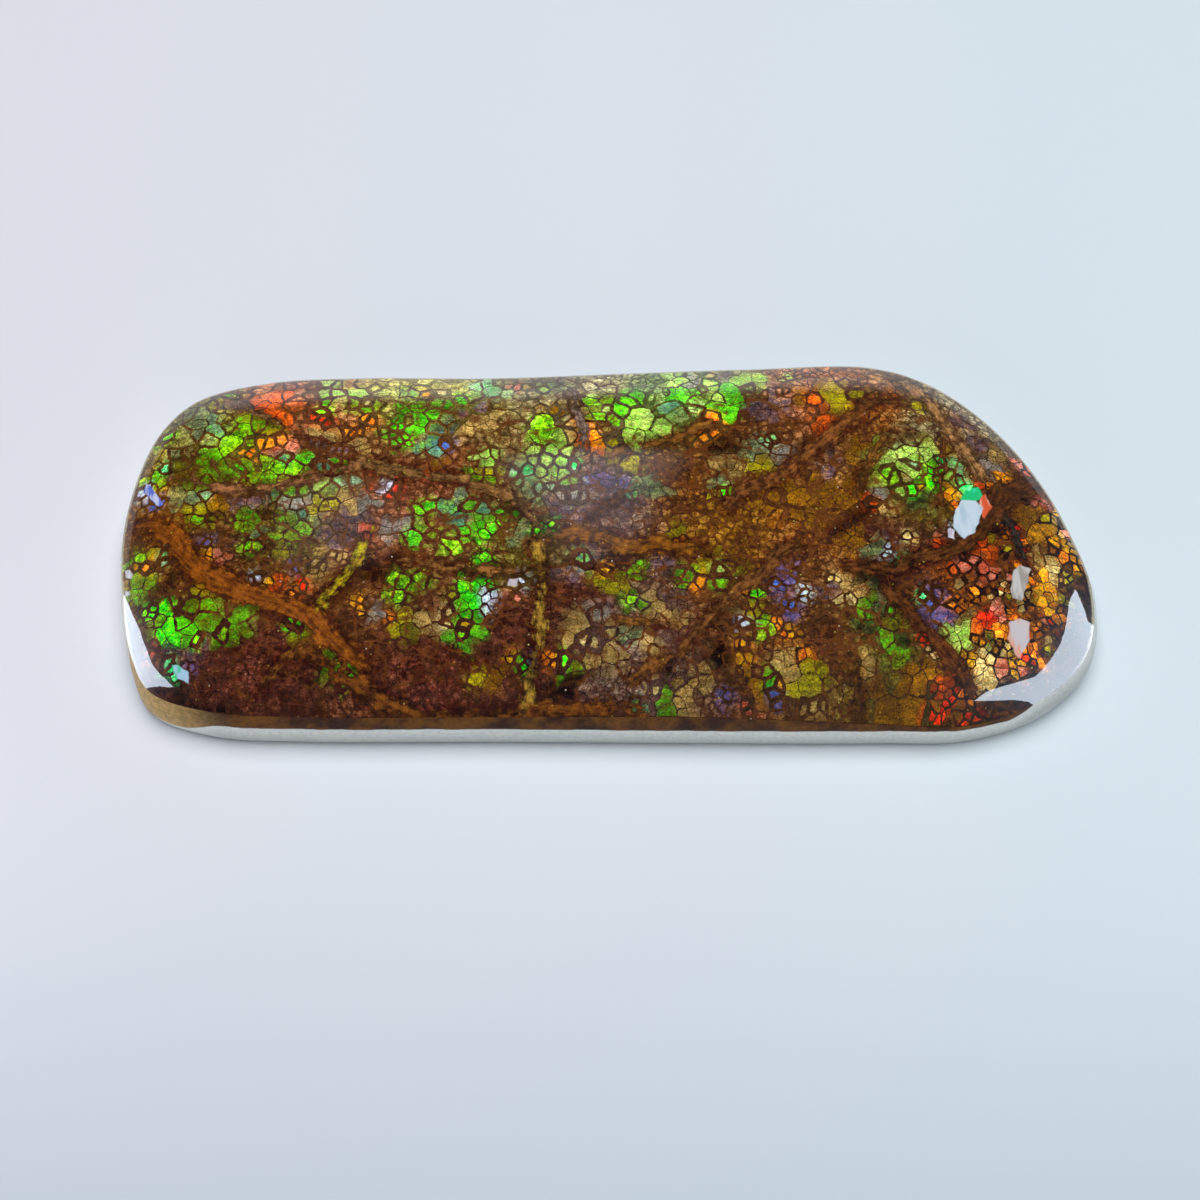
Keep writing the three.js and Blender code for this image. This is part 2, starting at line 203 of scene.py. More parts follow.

# ---------------------------------------------------------------- veins, loose flakes and painted highlights

# Each vein has its body colour, its streak colour, and a line of x, y and half width
VEINS = [
    ("#643006", "#8e4c0c", """-31.2 .2 .5, -30 -.1 .6, -28.6 -1.2 .75, -27.6 -2.6 .75, -26.3 -4 .8,
        -24.8 -4.7 .85, -23.2 -5.4 .7, -22 -5.9 .65, -20.5 -6.3 .6, -19.3 -6.9 .7, -18.3 -8 .7, -17 -9.2 .6,
        -15.6 -10 .35"""),
    ("#582a0a", "#804810", """-19.5 -9.3 .45, -18.2 -9.9 .45, -17 -10.9 .45, -15.6 -11.5 .45, -14 -12.3 .45,
        -12 -12.9 .4, -8 -12.9 .4, -4 -12.5 .4, 0 -12.5 .35, 2 -12.6 .3"""),
    ("#5c3010", "#804c14", """-19.6 -8.9 .2, -21 -9.6 .2, -22.5 -11.5 .2"""),
    ("#9c6808", "#b0a40c", """-15.4 -.7 .15, -16 -1.9 .2, -16.4 -3 .25, -17 -4 .25, -17.7 -4.9 .31,
        -18.6 -5.9 .31"""),
    ("#74441c", "#98642c", """-15.7 -2.6 .1, -14.2 -2.9 .12, -12.5 -3.2 .15, -10.9 -3.5 .2, -9.2 -3.5 .22,
        -7.6 -3.6 .25, -5.2 -3.8 .15"""),
    ("#80581c", "#a48028", """-4.5 -1.9 .35, -4.3 -3.5 .25, -4.2 -5 .15, -4.5 -7 .25, -4.4 -8.5 .25,
        -4.8 -10 .2, -5.2 -11.8 .3"""),
    ("#6c3c0a", "#8a520c", """-4.9 -1.6 .15, -3.4 -1.4 .3, -2.4 -1.1 .45, -1.2 -1 .4, -.1 -1.3 .5, .9 -2 .5,
        2 -2.1 .5, 3 -1.8 .5, 4.3 -2 .5, 5.9 -2.1 .4, 6.6 -2.5 .25"""),
    ("#74482a", "#946034", """-29.3 3.5 .2, -28 3.1 .2, -26.7 2.75 .25, -25.2 2.1 .35, -24 2.2 .3,
        -22.8 2.2 .25, -21.8 2.35 .2, -20.7 2.75 .2, -19.8 3.1 .2, -18.1 3.6 .2, -16.8 4 .25"""),
    ("#684c38", "#886848", """-22.5 1.9 .12, -22.5 .3 .12"""),
    ("#5c3818", "#7c5020", """-28.2 5.4 .18, -27 4.6 .18, -25.8 3.9 .18, -25.4 3 .18"""),
    ("#6c4828", "#8c6434", """-26 9.9 .25, -24.4 8.9 .25, -23.3 8.2 .25, -22.3 7.4 .25"""),
    ("#744c28", "#946834", """-16.5 4.2 .4, -14 3.6 .5, -12 3.3 .4, -9.5 2.9 .35, -8 2.3 .35, -6.6 1.7 .35,
        -5.7 .7 .3, -4.6 -.3 .25, -3.4 -1.2 .3"""),
    ("#5a3018", "#7c4c20", """-1.5 -.6 .15, -.6 .6 .15, .6 1.3 .15"""),
    ("#643814", "#84541c", """.2 4.7 .15, 1.1 5.2 .18, 2.2 5.5 .2, 3.4 5.6 .25, 4.3 6 .3, 5 6.3 .33,
        5.9 6.8 .36, 6.6 7.2 .4"""),
    ("#683816", "#885020", """8.1 1 .4, 8.7 1.9 .4, 9.8 2.5 .45, 10.9 2.9 .45, 11.9 3.6 .4, 12.8 4.5 .4,
        13.7 5.3 .4, 14.7 6.1 .45, 15.8 7.1 .45, 16.6 7.8 .5, 17.1 8.5 .5, 18.3 9.2 .5, 19.3 9.3 .4"""),
    ("#885828", "#b0804c", """19.7 11.8 .3, 20.8 11 .35, 22 9.3 .35, 23 7.5 .35, 23.5 6.3 .35, 24.2 5.2 .4,
        24.6 4.2 .4, 25 3.2 .5"""),
    ("#3e1e0a", "#643812", """29 4.1 .6, 27.9 3.2 .8, 26.6 2.4 .9, 25.6 1.3 1, 24.9 .1 .9, 24.2 -.9 .8,
        23.4 -1.8 .6, 22.1 -2.3 .5, 21.3 -2.6 .4, 20.1 -3 .4, 18.9 -3.6 .35, 17.1 -3.5 .3, 15.7 -3.5 .25"""),
    ("#401e08", "#643610", """18.1 -4.9 .3, 19.3 -6.3 .35, 20.4 -7.6 .35, 21.6 -8.9 .4, 22.7 -10.1 .4,
        23.4 -11.2 .35"""),
    ("#5c3014", "#7c4818", """22.5 6.2 .2, 22.4 4.8 .2, 22.2 3.6 .2, 22 2.3 .22, 22 1.3 .25"""),
    ("#80602c", "#a07c40", """18.7 6.4 .2, 21.3 6.3 .2"""),
    ("#5c3414", "#7c5018", """18.6 6.1 .3, 17.6 4.6 .3, 16.8 3.2 .3, 16.5 2.1 .3, 17.3 1.4 .25"""),
    ("#603616", "#7c4c1c", """1.4 -10.9 .2, 2.8 -10.2 .3, 4.4 -9.2 .3, 5.6 -8.2 .3, 6.2 -7.3 .3,
        7.2 -6.4 .3, 8.6 -4.9 .35, 10.2 -4 .4, 11.4 -2.2 .4, 12.4 -1.9 .4"""),
    ("#5c3414", "#7c5018", """.8 -7.2 .15, 3 -7.4 .15, 4.4 -7.6 .15"""),
    ("#48240c", "#603c10", """16 -10.1 .2, 16.2 -11.2 .2, 16.3 -12.8 .2"""),
    ("#705848", "#907464", """-2.3 9.9 .3, -1.7 7 .3, -1.6 5 .25"""),
    ("#24140a", "#3c2010", """14.9 -.9 .1, 16.4 .05 .14, 17.3 .6 .1"""),
    ("#1c140e", "#40342a", """26.2 1.2 .1, 26.9 -.6 .2, 27.3 -2.6 .22"""),
]

# Loose flakes of nacreous shell that lie open at the surface, and painted highlights: the pale
# bluish-white, grey and white ones stand for reflections of lights in the gloss. Two colours, corners
# anticlockwise
PEARL_FLAKES_AND_HIGHLIGHTS = [
    ("#20c878", "#40e0b0", "23.4 1.5, 24.4 1.5, 25 2, 24.7 2.6, 23.8 2.3"),
    ("#e05c34", "#f0b8a4", "24.6 .9, 24.9 .2, 25.5 1.2, 25.1 2.2, 24.7 1.7"),
    ("#ccdce8", "#b4ccdc", "22.8 -.6, 23.4 -1.4, 24.2 -.8, 24.9 1, 24.4 1.6, 23.5 1.5, 22.9 .7"),
    ("#ccc8c4", "#a49c94", "26.3 -4.8, 26.4 -5.4, 27 -5.6, 27.4 -4.6, 27.8 -3.2, 27 -3, 26.6 -3.5"),
    ("#d0c8cc", "#e4a894", "26.1 -7.1, 26 -8.2, 26.5 -9.1, 26.8 -9.3, 27.4 -8.1, 27.5 -7, 26.8 -6.8"),
    ("#ccd0f0", "#5c74dc", "-30.5 2.1, -29.9 1.4, -29.6 1.5, -29.8 2, -30.4 2.9, -31 3.6, -31.2 3"),
    ("#e4e4ea", "#c8c8d0", "-32 -2.6, -32 -3.1, -31.5 -3.4, -31.4 -3, -31.7 -2.7"),
    ("#e4e4ea", "#c8c8d0", "-31.9 -4, -31.9 -4.4, -31.6 -4.5, -31.6 -4.2"),
    ("#58d0a8", "#b0d0ec", "-28.2 -9.8, -28 -10.6, -27.1 -10.9, -27.2 -10.3, -27.8 -9.8"),
    ("#dcd4dc", "#b0a0b8", "22.4 -1.3, 22.8 -1.5, 22.8 -.9, 22.6 -.5, 22.4 -.7"),
    ("#c8bcc0", "#a0a0b0", "-6.5 -4.8, -5.9 -4.9, -5.8 -4.3, -6.4 -4.3"),
]

# ---------------------------------------------------------------- small helpers


def numbers(text):
    """Rows of numbers, from text with a comma after each row."""
    return [[float(word) for word in row.split()] for row in text.split(",")]


def linear(hex_colour):
    """An sRGB hex colour as linear red, green, blue and full alpha."""
    parts = [int(hex_colour[i:i + 2], 16) / 255 for i in (1, 3, 5)]
    return [p / 12.92 if p <= 0.04045 else ((p + 0.055) / 1.055) ** 2.4 for p in parts] + [1.0]


def shades(hex_colours):
    """Rows of linear red, green and blue."""
    return np.array([linear(colour)[:3] for colour in hex_colours])


def smooth_step(low, high, value):
    t = np.clip((value - low) / (high - low), 0.0, 1.0)
    return t * t * (3 - 2 * t)


def cross(a, b):
    """How far ways in plan turn from a to b, times both lengths."""
    return a[..., 0] * b[..., 1] - a[..., 1] * b[..., 0]


def unit(ways):
    """Ways of the same directions and of length 1."""
    return ways / np.maximum(np.linalg.norm(ways, axis=1), 1e-9)[:, None]


def round_pairs(loop):
    """Each item of a loop with the one after it."""
    return list(zip(loop, loop[1:] + loop[:1]))


def noise_at(points, size, level, read=noise.noise):
    """Smooth noise at points in plan, whose swells are about this many millimetres wide."""
    return np.array([read(Vector((x / size, y / size, level))) for x, y in points.tolist()])


def scattered(count, dice):
    """Random spots all over the plan of the stone."""
    return dice.random((count, 2)) * FIELD - FIELD / 2


# ---------------------------------------------------------------- form of the stone


def closed_curve(points, steps):
    """Centripetal Catmull-Rom curve through the points, whose spacing comes from x and y."""
    points = np.array(points)
    curve = []
    for i in range(len(points)):
        near = np.roll(points, 1 - i, 0)[:4]
        t = np.cumsum([0.0, *np.linalg.norm(np.diff(near[:, :2], axis=0), axis=1) ** 0.5])
        for s in np.linspace(t[1], t[2], steps, endpoint=False):
            row = near
            for reach in (1, 2):
                row = [p + (q - p) * (s - t[k]) / (t[k + reach] - t[k])
                       for k, (p, q) in enumerate(zip(row, row[1:]))]
            curve.append(row[0] + (row[1] - row[0]) * (s - t[1]) / (t[2] - t[1]))
    return np.array(curve)


def nearest_on_spine(points):
    along = SPINE_RIGHT - SPINE_LEFT
    share = np.clip((points - SPINE_LEFT) @ along / (along @ along), 0, 1)
    return SPINE_LEFT + share[:, None] * along


class StoneForm:
    """The girdle and crease of the stone, and the height of its dome over any point in plan."""

    def __init__(self):
        curve = closed_curve(numbers(OUTLINE), STEPS_PER_POINT)
        self.girdle = curve[:, :2]
        self.crease_inset, self.crease_height = curve[:, 2], curve[:, 3]
        self.inward = unit(nearest_on_spine(self.girdle) - self.girdle)
        self.crease = self.girdle + self.inward * self.crease_inset[:, None]
        self.crease_edges = list(zip(self.crease, np.roll(self.crease, -1, 0)))

    def at(self, values, place):
        """A value that is known at every point of the loop, at places between them."""
        low = np.floor(place).astype(int)
        part = place - low
        part = part[:, None] if values.ndim > 1 else part
        return values[low % len(values)] * (1 - part) + values[(low + 1) % len(values)] * part

    def share_of_fall(self, points):
        """How far each point lies from the spine to the crease, and the crease's height there."""
        spine = nearest_on_spine(points)
        toward = unit(points - spine)
        whole = np.full(len(points), np.inf)
        place = np.zeros(len(points))
        for i, (a, b) in enumerate(self.crease_edges):
            slant = cross(toward, b - a)
            slant = np.where(abs(slant) < 1e-12, 1e-12, slant)
            distance = cross(a - spine, b - a) / slant
            along = cross(a - spine, toward) / slant
            hit = (distance > 0) & (along >= -1e-9) & (along <= 1 + 1e-9) & (distance < whole)
            whole = np.where(hit, distance, whole)
            place = np.where(hit, i + along, place)
        return np.linalg.norm(points - spine, axis=1) / whole, self.at(self.crease_height, place)

    def dome(self, points):
        share, crease_height = self.share_of_fall(points)
        return THICKNESS - (THICKNESS - crease_height) * np.clip(share, 0, 1) ** DOME_POWER

    def nearest_on_crease(self, points):
        """Nearest point on the crease, its place along the crease loop, and the distance to it."""
        best = np.full(len(points), np.inf)
        place = np.zeros(len(points))
        for i, (a, b) in enumerate(self.crease_edges):
            along = np.clip((points - a) @ (b - a) / ((b - a) @ (b - a)), 0, 1)
            distance = np.linalg.norm(points - a - along[:, None] * (b - a), axis=1)
            place = np.where(distance < best, i + along, place)
            best = np.minimum(best, distance)
        return self.at(self.crease, place), place, best


# ---------------------------------------------------------------- crazing into tiles

MATRIX_SPREAD = 0.56           # mean spacing of tiles in the plain matrix
CALM_SPREAD = 0.3              # and how much wider they stand in its calm part, at the upper left
PATCH_SPREAD = (0.42, 1.85)    # least and greatest spacing in a patch
FINE_END_FROM = 21.0           # the shell is crazed finer on the slanted end, right of this
SMALL_PATCH = 0.5              # patches up to this half width get seeds of their own
PATCH_CLOSENESS = 0.62         # how close those stand, where 1 is a full spacing
DART_CLOSENESS = 0.88          # and how close the scattered seeds stand
SEED_DARTS = 42000
EDGE_GAP = 0.13                # no seed is nearer to the crease than this
MIRROR_DEPTH = 2.4             # seeds this near the crease are mirrored to end the tiles on it
SAME_PLACE = 0.004             # corners closer than this are one corner


def patch_table():
    """Every patch as a row x, y, half length, half width, turn, and the names of their tones."""
    rows, names = [], []
    for name, (_, _, patches) in PATCHES.items():
        for x, y, half, *others in numbers(patches):
            rows.append((x, y, half, *(others or [half]), 0.0)[:5])
            names.append(name)
    return np.array(rows), names


def patch_gaps(points, rows):
    """How far each point lies outside each patch, in millimetres, and below 0 inside it."""
    x, y, half_length, half_width, turn = rows.T
    cos, sin = np.cos(np.radians(turn)), np.sin(np.radians(turn))
    dx, dy = points[:, :1] - x, points[:, 1:] - y
    share = np.hypot((dx * cos + dy * sin) / half_length, (dy * cos - dx * sin) / half_width)
    middle = share < 0.02
    beyond = np.hypot(dx, dy) * (1 - 1 / np.where(middle, 1, share))
    return np.where(middle, -np.minimum(half_length, half_width), beyond)


def patch_at(points, rows):
    """The smallest patch that holds each point, or else the nearest one, and the gap to it."""
    gaps = patch_gaps(points, rows)
    held = gaps < 0.03
    smallest = np.where(held, rows[:, 2] * rows[:, 3], np.inf).argmin(1)
    patch = np.where(held.any(1), smallest, gaps.argmin(1))
    return patch, gaps[np.arange(len(points)), patch]


def tile_spread(points, rows):
    """Wanted spacing between neighbouring tiles, in millimetres."""
    x, y = points.T
    patch, gap = patch_at(points, rows)
    in_patch = np.clip(1.75 * np.sqrt(rows[patch, 2] * rows[patch, 3]), *PATCH_SPREAD)
    calm = smooth_step(-2.0, 7.0, y) * smooth_step(6.0, -8.0, x)
    in_matrix = (MATRIX_SPREAD + CALM_SPREAD * calm) * np.exp(0.7 * noise_at(points, 2.6, 5.3))
    fine = np.where(x > FINE_END_FROM, 0.8, 1.0)
    return np.where(gap < 0.1, in_patch, in_matrix) * fine * np.exp(0.8 * noise_at(points, 0.9, 8.8))


class SeedBed:
    """Keeps tile seeds apart by the sum of their radii."""

    def __init__(self):
        self.seeds, self.boxes = [], {}

    def take(self, x, y, radius, closeness):
        """Keeps a seed, unless another one stands too near."""
        column, row = math.floor(x), math.floor(y)
        for box in product((column - 1, column, column + 1), (row - 1, row, row + 1)):
            for other_x, other_y, other_radius in self.boxes.get(box, ()):
                if math.hypot(other_x - x, other_y - y) < closeness * (radius + other_radius):
                    return
        self.boxes.setdefault((column, row), []).append((x, y, radius))
        self.seeds.append((x, y))


def tile_seeds(form, rows, dice):
    """Seeds in every small patch first, then scattered to fill the rest of the stone."""
    bed = SeedBed()
    for x, y, half_length, half_width, turn in sorted(rows.tolist(), key=lambda row: row[2] * row[3]):
        long_way, short_way = max(half_length, half_width), min(half_length, half_width)
        if short_way > SMALL_PATCH:
            continue
        angle = math.radians(turn + 90 if half_width > half_length else turn)
        count = max(1, round(long_way / short_way * 0.7))
        for step in range(count):
            off = ((step + 0.5) / count - 0.5) * 2 * long_way
            bed.take(x + off * math.cos(angle), y + off * math.sin(angle),
                     min(short_way, long_way / count), PATCH_CLOSENESS)
    darts = scattered(SEED_DARTS, dice)
    spreads = tile_spread(darts, rows) * dice.uniform(0.85, 1.2, SEED_DARTS)
    for (x, y), spread in zip(darts.tolist(), spreads.tolist()):
        bed.take(x, y, spread / 2, DART_CLOSENESS)
    seeds = np.array(bed.seeds)
    share, _ = form.share_of_fall(seeds)
    _, _, edge_gap = form.nearest_on_crease(seeds)
    return seeds[(share < 1.0) & (edge_gap > EDGE_GAP)]


def voronoi_tiles(form, seeds):
    """Corner points of all tiles, and for each tile its corners in order and its neighbours."""
    foot, _, gap = form.nearest_on_crease(seeds)
    near = gap < MIRROR_DEPTH
    everyone = np.vstack([seeds, 2 * foot[near] - seeds[near]])
    cut = delaunay_2d_cdt([Vector(p) for p in everyone.tolist()], [], [], 0, 1e-7, True)
    origin = {new: old[0] for new, old in enumerate(cut[3]) if old}
    triangles = np.array([[origin[v] for v in face] for face in cut[2]])
    # tiles meet where three seeds are equally far: in the middle of the circle through them
    a = everyone[triangles[:, 0]]
    b, c = everyone[triangles[:, 1]] - a, everyone[triangles[:, 2]] - a
    off = c * (b * b).sum(1)[:, None] - b * (c * c).sum(1)[:, None]
    corners = a + off[:, ::-1] * (1, -1) / (2 * cross(b, c))[:, None]
    # four seeds on one circle give two corners in one place: these count as one
    _, first, same = np.unique(np.round(corners / SAME_PLACE).astype(int), axis=0,
                               return_index=True, return_inverse=True)
    one = first[same.ravel()].tolist()
    around = [[] for _ in everyone]
    for k, triangle in enumerate(triangles.tolist()):
        for seed in triangle:
            around[seed].append(k)
    centres = everyone[triangles].mean(1)
    tiles = []
    for seed, ring in enumerate(around[:len(seeds)]):
        way = centres[ring] - everyone[seed]
        ring = [ring[k] for k in np.argsort(np.arctan2(way[:, 1], way[:, 0]))]
        outline, beyond = [], []
        for here, after in round_pairs(ring):
            if one[here] != one[after]:
                outline.append(one[here])
                shared = set(triangles[here].tolist()) & set(triangles[after].tolist())
                beyond.append(min(shared - {seed}))
        tiles.append((outline, beyond))
    return corners, tiles


# ---------------------------------------------------------------- building the mesh

DOME, WALL, BACK = 0, 1, 2     # the stone's three surfaces, as material indices
CRACK_STRAYS = ((1.3, 0.26), (0.45, 0.10))    # wave length and reach of the crack lines' wander
CRACKS_SETTLE = 0.7            # nearer to the crease than this, they settle onto it
LONGEST_CRACK_STEP = 0.22
SLOPE_STEP = 0.06              # over which the dome's slope is taken
WALL_SHARES = (0.88, 0.7, 0.5, 0.3, 0.12, 0.0)    # rings of the wall, crease to girdle
PLATES = 330                   # the matrix first broke into this many plates
PLATE_BLUR = 1 / 1.7           # wave length of the wander of their borders
LOOSE_PLATE = 10000            # numbers from here on are plates of matrix, not patches
FINEST_CRACK = 0.004           # half width of a crack that hardly shows
HAIR_CRACK = (0.008, 0.03)     # half widths of the cracks between tiles of one plate
SEAM = (0.05, 0.15)            # and of the seams between plates
CREASE_CRACK = (0.05, 0.4)     # half width and healing where a tile ends on the crease


def strayed(points, gap):
    """Moves plan points by a smooth random field, less and less towards the crease."""
    hold = smooth_step(0.0, CRACKS_SETTLE, gap)[:, None]
    push = sum(noise_at(points, length, 3.7, noise.noise_vector)[:, :2] * reach
               for length, reach in CRACK_STRAYS)
    return points + push * hold


class StoneMesh:
    """Points and faces of the closed stone, with what its materials read from them."""

    def __init__(self):
        self.points, self.faces = [], []
        self.material, self.crack, self.healed, self.tile = [], [], [], []

    def add_face(self, face, material, crack=(9.0, 9.0), healed=0.0, tile=0):
        """A triangle whose first corner is off the crack: by how many half widths, and by how
        many mm. Healed is 1 where the crack is filled with rust, and 0 where it is open."""
        self.faces.append(face)
        self.material.append(material)
        self.crack.append([(*crack, 1.0), (0.0, 0.0, 0.0), (0.0, 0.0, 0.0)])
        self.healed.append(healed)
        self.tile.append(tile)


def crease_loop(edges):
    """The loop of point indices round the top, from directed edges that one face alone uses."""
    follow = {a: b for a, b in edges if (b, a) not in edges}
    start = min(follow)
    loop, here = [start], follow[start]
    while here != start:
        loop.append(here)
        here = follow[here]
    return loop


def random_share(a, b):
    """A repeatable number from 0 to 1 for a pair of tiles or plates."""
    a, b = min(a, b), max(a, b)
    return math.sin(12.9898 * (a + b) + 4.1414 * a * b) * 0.5 + 0.5


def crack_between(plates, a, b):
    """Half width of the crack between two tiles, and how far it is healed with rust."""
    if b >= len(plates):                 # the mirrored seeds beyond the crease
        return CREASE_CRACK
    one, other = plates[a], plates[b]
    share = random_share(a, b)
    low, high = HAIR_CRACK
    hair = low + (high - low) * share if share > 0.4 else FINEST_CRACK
    if one == other:
        return (hair, 0.0) if one < LOOSE_PLATE or share > 0.6 else (FINEST_CRACK, 0.5)
    if max(one, other) < LOOSE_PLATE:    # two patches of shell
        return max(hair, 0.02) + 0.02 * share, 0.2
    parting = random_share(one % 991, other % 991)    # smaller numbers keep the sine even
    low, high = SEAM
    if parting > 0.7:                    # plates that have drawn apart
        return low + (high - low) * (parting - 0.7) * (1.8 + share), 1.0
    return hair, 0.4


def plate_of_tiles(seeds, rows, dice):
    """Tiles of one patch are one plate. Elsewhere the matrix has broken into plates of its own."""
    blur = noise_at(seeds, PLATE_BLUR, 9.1, noise.noise_vector)[:, :2]
    patch, gap = patch_at(seeds + blur * 0.15, rows)
    plates = scattered(PLATES, dice)
    loose = ((seeds[:, None] + blur[:, None] * 1.1 - plates) ** 2).sum(2).argmin(1)
    return np.where(gap < 0.22, patch, LOOSE_PLATE + loose), patch, gap


def build_stone(form, dice):
    """The crazed dome: its mesh, its crease loop with the loop's places, and a table of tiles."""
    rows, names = patch_table()
    seeds = tile_seeds(form, rows, dice)
    corners, tiles = voronoi_tiles(form, seeds)
    plate_of, patch, patch_gap = plate_of_tiles(seeds, rows, dice)

    used = sorted({k for ring, _ in tiles for k in ring})
    place_of = {k: i for i, k in enumerate(used)}
    plan = corners[used].tolist()
    between = {}
    for ring, _ in tiles:
        for first, second in round_pairs(ring):
            low, high = min(first, second), max(first, second)
            if (low, high) in between:
                continue
            start, reach = corners[low], corners[high] - corners[low]
            count = math.ceil(np.linalg.norm(reach) / LONGEST_CRACK_STEP)
            between[low, high] = list(range(len(plan), len(plan) + count - 1))
            between[high, low] = between[low, high][::-1]
            plan.extend((start + reach * step / count).tolist() for step in range(1, count))
    first_middle = len(plan)
    plan = np.array(plan + seeds.tolist())

    stone = StoneMesh()
    edges = set()
    for tile, (ring, beyond) in enumerate(tiles):
        for (first, second), neighbour in zip(round_pairs(ring), beyond):
            chain = [place_of[first], *between[first, second], place_of[second]]
            reach = corners[second] - corners[first]
            height = abs(cross(reach, seeds[tile] - corners[first])) / max(np.linalg.norm(reach), 1e-6)
            width, healed = crack_between(plate_of, tile, neighbour)
            for p, q in zip(chain, chain[1:]):
                stone.add_face((first_middle + tile, p, q), DOME, (height / width, height), healed, tile)
                edges.add((p, q))

    # the outermost corners go exactly onto the crease, and the rest stray a little
    loop = crease_loop(edges)
    plan[loop], place, _ = form.nearest_on_crease(plan[loop])
    _, _, stone.rim_gap = form.nearest_on_crease(plan)
    plan = strayed(plan, stone.rim_gap)
    height = form.dome(plan)
    height[loop] = form.at(form.crease_height, place)
    stone.points = np.column_stack([plan, height]).tolist()
    radius = np.array([np.linalg.norm(corners[ring] - seed, axis=1).mean()
                       for (ring, _), seed in zip(tiles, seeds)])
    return stone, loop, place, (seeds, radius, plate_of, patch, patch_gap, rows, names)


def add_wall_and_back(stone, form, loop, place):
    """Rings of points down the wall from the crease, and the flat back that closes the stone."""
    girdle, inward = form.at(form.girdle, place), form.at(form.inward, place)
    crease_inset, crease_height = form.at(form.crease_inset, place), form.at(form.crease_height, place)
    steps = []
    for share in WALL_SHARES:
        steps.append((crease_inset * share - WALL_BULGE * 4 * share * (1 - share),
                      GIRDLE_HEIGHT + (crease_height - GIRDLE_HEIGHT) * share))
    steps.append((BACK_INSET / 3, BACK_EASE_HEIGHT))
    steps.append((BACK_INSET, 0.0))
    rings = [loop]
    for inset, height in steps:
        first = len(stone.points)
        spots = girdle + inward * np.reshape(inset, (-1, 1))
        stone.points.extend(np.column_stack([spots, np.full(len(loop), height)]).tolist())
        rings.append(list(range(first, first + len(loop))))
    for upper, lower in zip(rings, rings[1:]):
        for (a, b), (c, d) in zip(round_pairs(upper), round_pairs(lower)):
            stone.add_face((a, c, d), WALL)
            stone.add_face((a, d, b), WALL)
    middle = len(stone.points)
    stone.points.append([0.0, 0.0, 0.0])
    for here, after in round_pairs(rings[-1]):
        stone.add_face((middle, after, here), BACK)
    return rings


# ---------------------------------------------------------------- what the materials read

MAP_SCALE = 0.98 / 65.8        # the stone's length fills the flat map
BACK_ON_MAP = 0.9              # the back is drawn a little smaller than the dome
MAP_STRIPS = 3                 # and the wall lies in so many strips between them


def tile_colours(seeds, radius, plate_of, patch, patch_gap, rows, names, dice):
    """Body, fleck and rim colour of every tile, how much of it is clean shell, how far its colours
    melt into its neighbours', and whether it is shell (1) or matrix (0).

    A tile takes its tone from the patch it lies in, and from the matrix where it lies in none.
    A tile that is bigger than its patch is clean only in its middle."""
    x, y = seeds.T
    count = len(seeds)
    share = 1 - smooth_step(0.08, 0.55, patch_gap + dice.normal(0, 0.07, count))
    # the slanted end has broken into bright splinters in dark matrix
    end = smooth_step(22.0, 25.0, x) * smooth_step(3.5, 0.0, y)
    splinter = (dice.random(count) < 0.42 * end) & (share < 0.5)
    tone = np.where(splinter, len(names) + dice.integers(0, len(SPLINTERS), count), patch)
    share = np.where(splinter, 1.0, share)

    zones = [(*colours, spot) for *colours, spots in MATRIX.values() for spot in numbers(spots)]
    weight = ((seeds[:, None] - np.array([spot for _, _, spot in zones])) ** 2).sum(2)
    weight = 1 / (weight + 1.0) ** 2
    weight /= weight.sum(1)[:, None]
    matrix, matrix_flecks = (weight @ shades(zone[k] for zone in zones) for k in (0, 1))
    tones, tone_flecks = (shades(PATCHES[name][k] for name in [*names, *SPLINTERS])[tone] for k in (0, 1))
    bodies = tones * share[:, None] + matrix * (1 - share[:, None])
    flecks = tone_flecks * share[:, None] + matrix_flecks * (1 - share[:, None])

    # plates and tiles swing in brightness at random, and painted light and shade make the far side
    # of the stone brighter and the near side a little darker
    plates = np.unique(plate_of, return_inverse=True)[1].ravel()
    swing = dice.normal(0, 0.16, plates.max() + 1)[plates]
    swing = np.clip(swing + dice.normal(0, 0.22, count) * (1 + end), -0.7, 0.35 + 0.4 * end)
    light = (1 + 0.45 * smooth_step(2.0, 10.0, y)) * (1 - 0.1 * smooth_step(-2.0, -7.0, y))
    light *= MATRIX_GAIN + (1 - MATRIX_GAIN) * share
    gain = (TILE_GAIN * np.exp(swing) * light)[:, None]
    rim_gain = (TILE_GAIN * 0.8 * (1 - 0.45 * end) * (1 - 0.2 * share))[:, None]
    rims = (0.7 * matrix + 0.3 * shades([RUST_SHADE])) * rim_gain

    short_way = np.minimum(rows[patch, 2], rows[patch, 3])
    clean = np.where(share > 0.5, short_way / radius * 1.15, dice.uniform(0.35, 1.2, count))
    clean[splinter] = dice.uniform(0.6, 1.0, splinter.sum())
    melt = np.where(share < 0.5, 1.0 - 0.6 * end, 0.5)
    bodies, flecks = np.maximum(bodies * gain - VEIL, 0.0), np.maximum(flecks * gain - VEIL, 0.0)
    return bodies, flecks, rims, np.clip(clean, 0.4, 1.0), melt, share


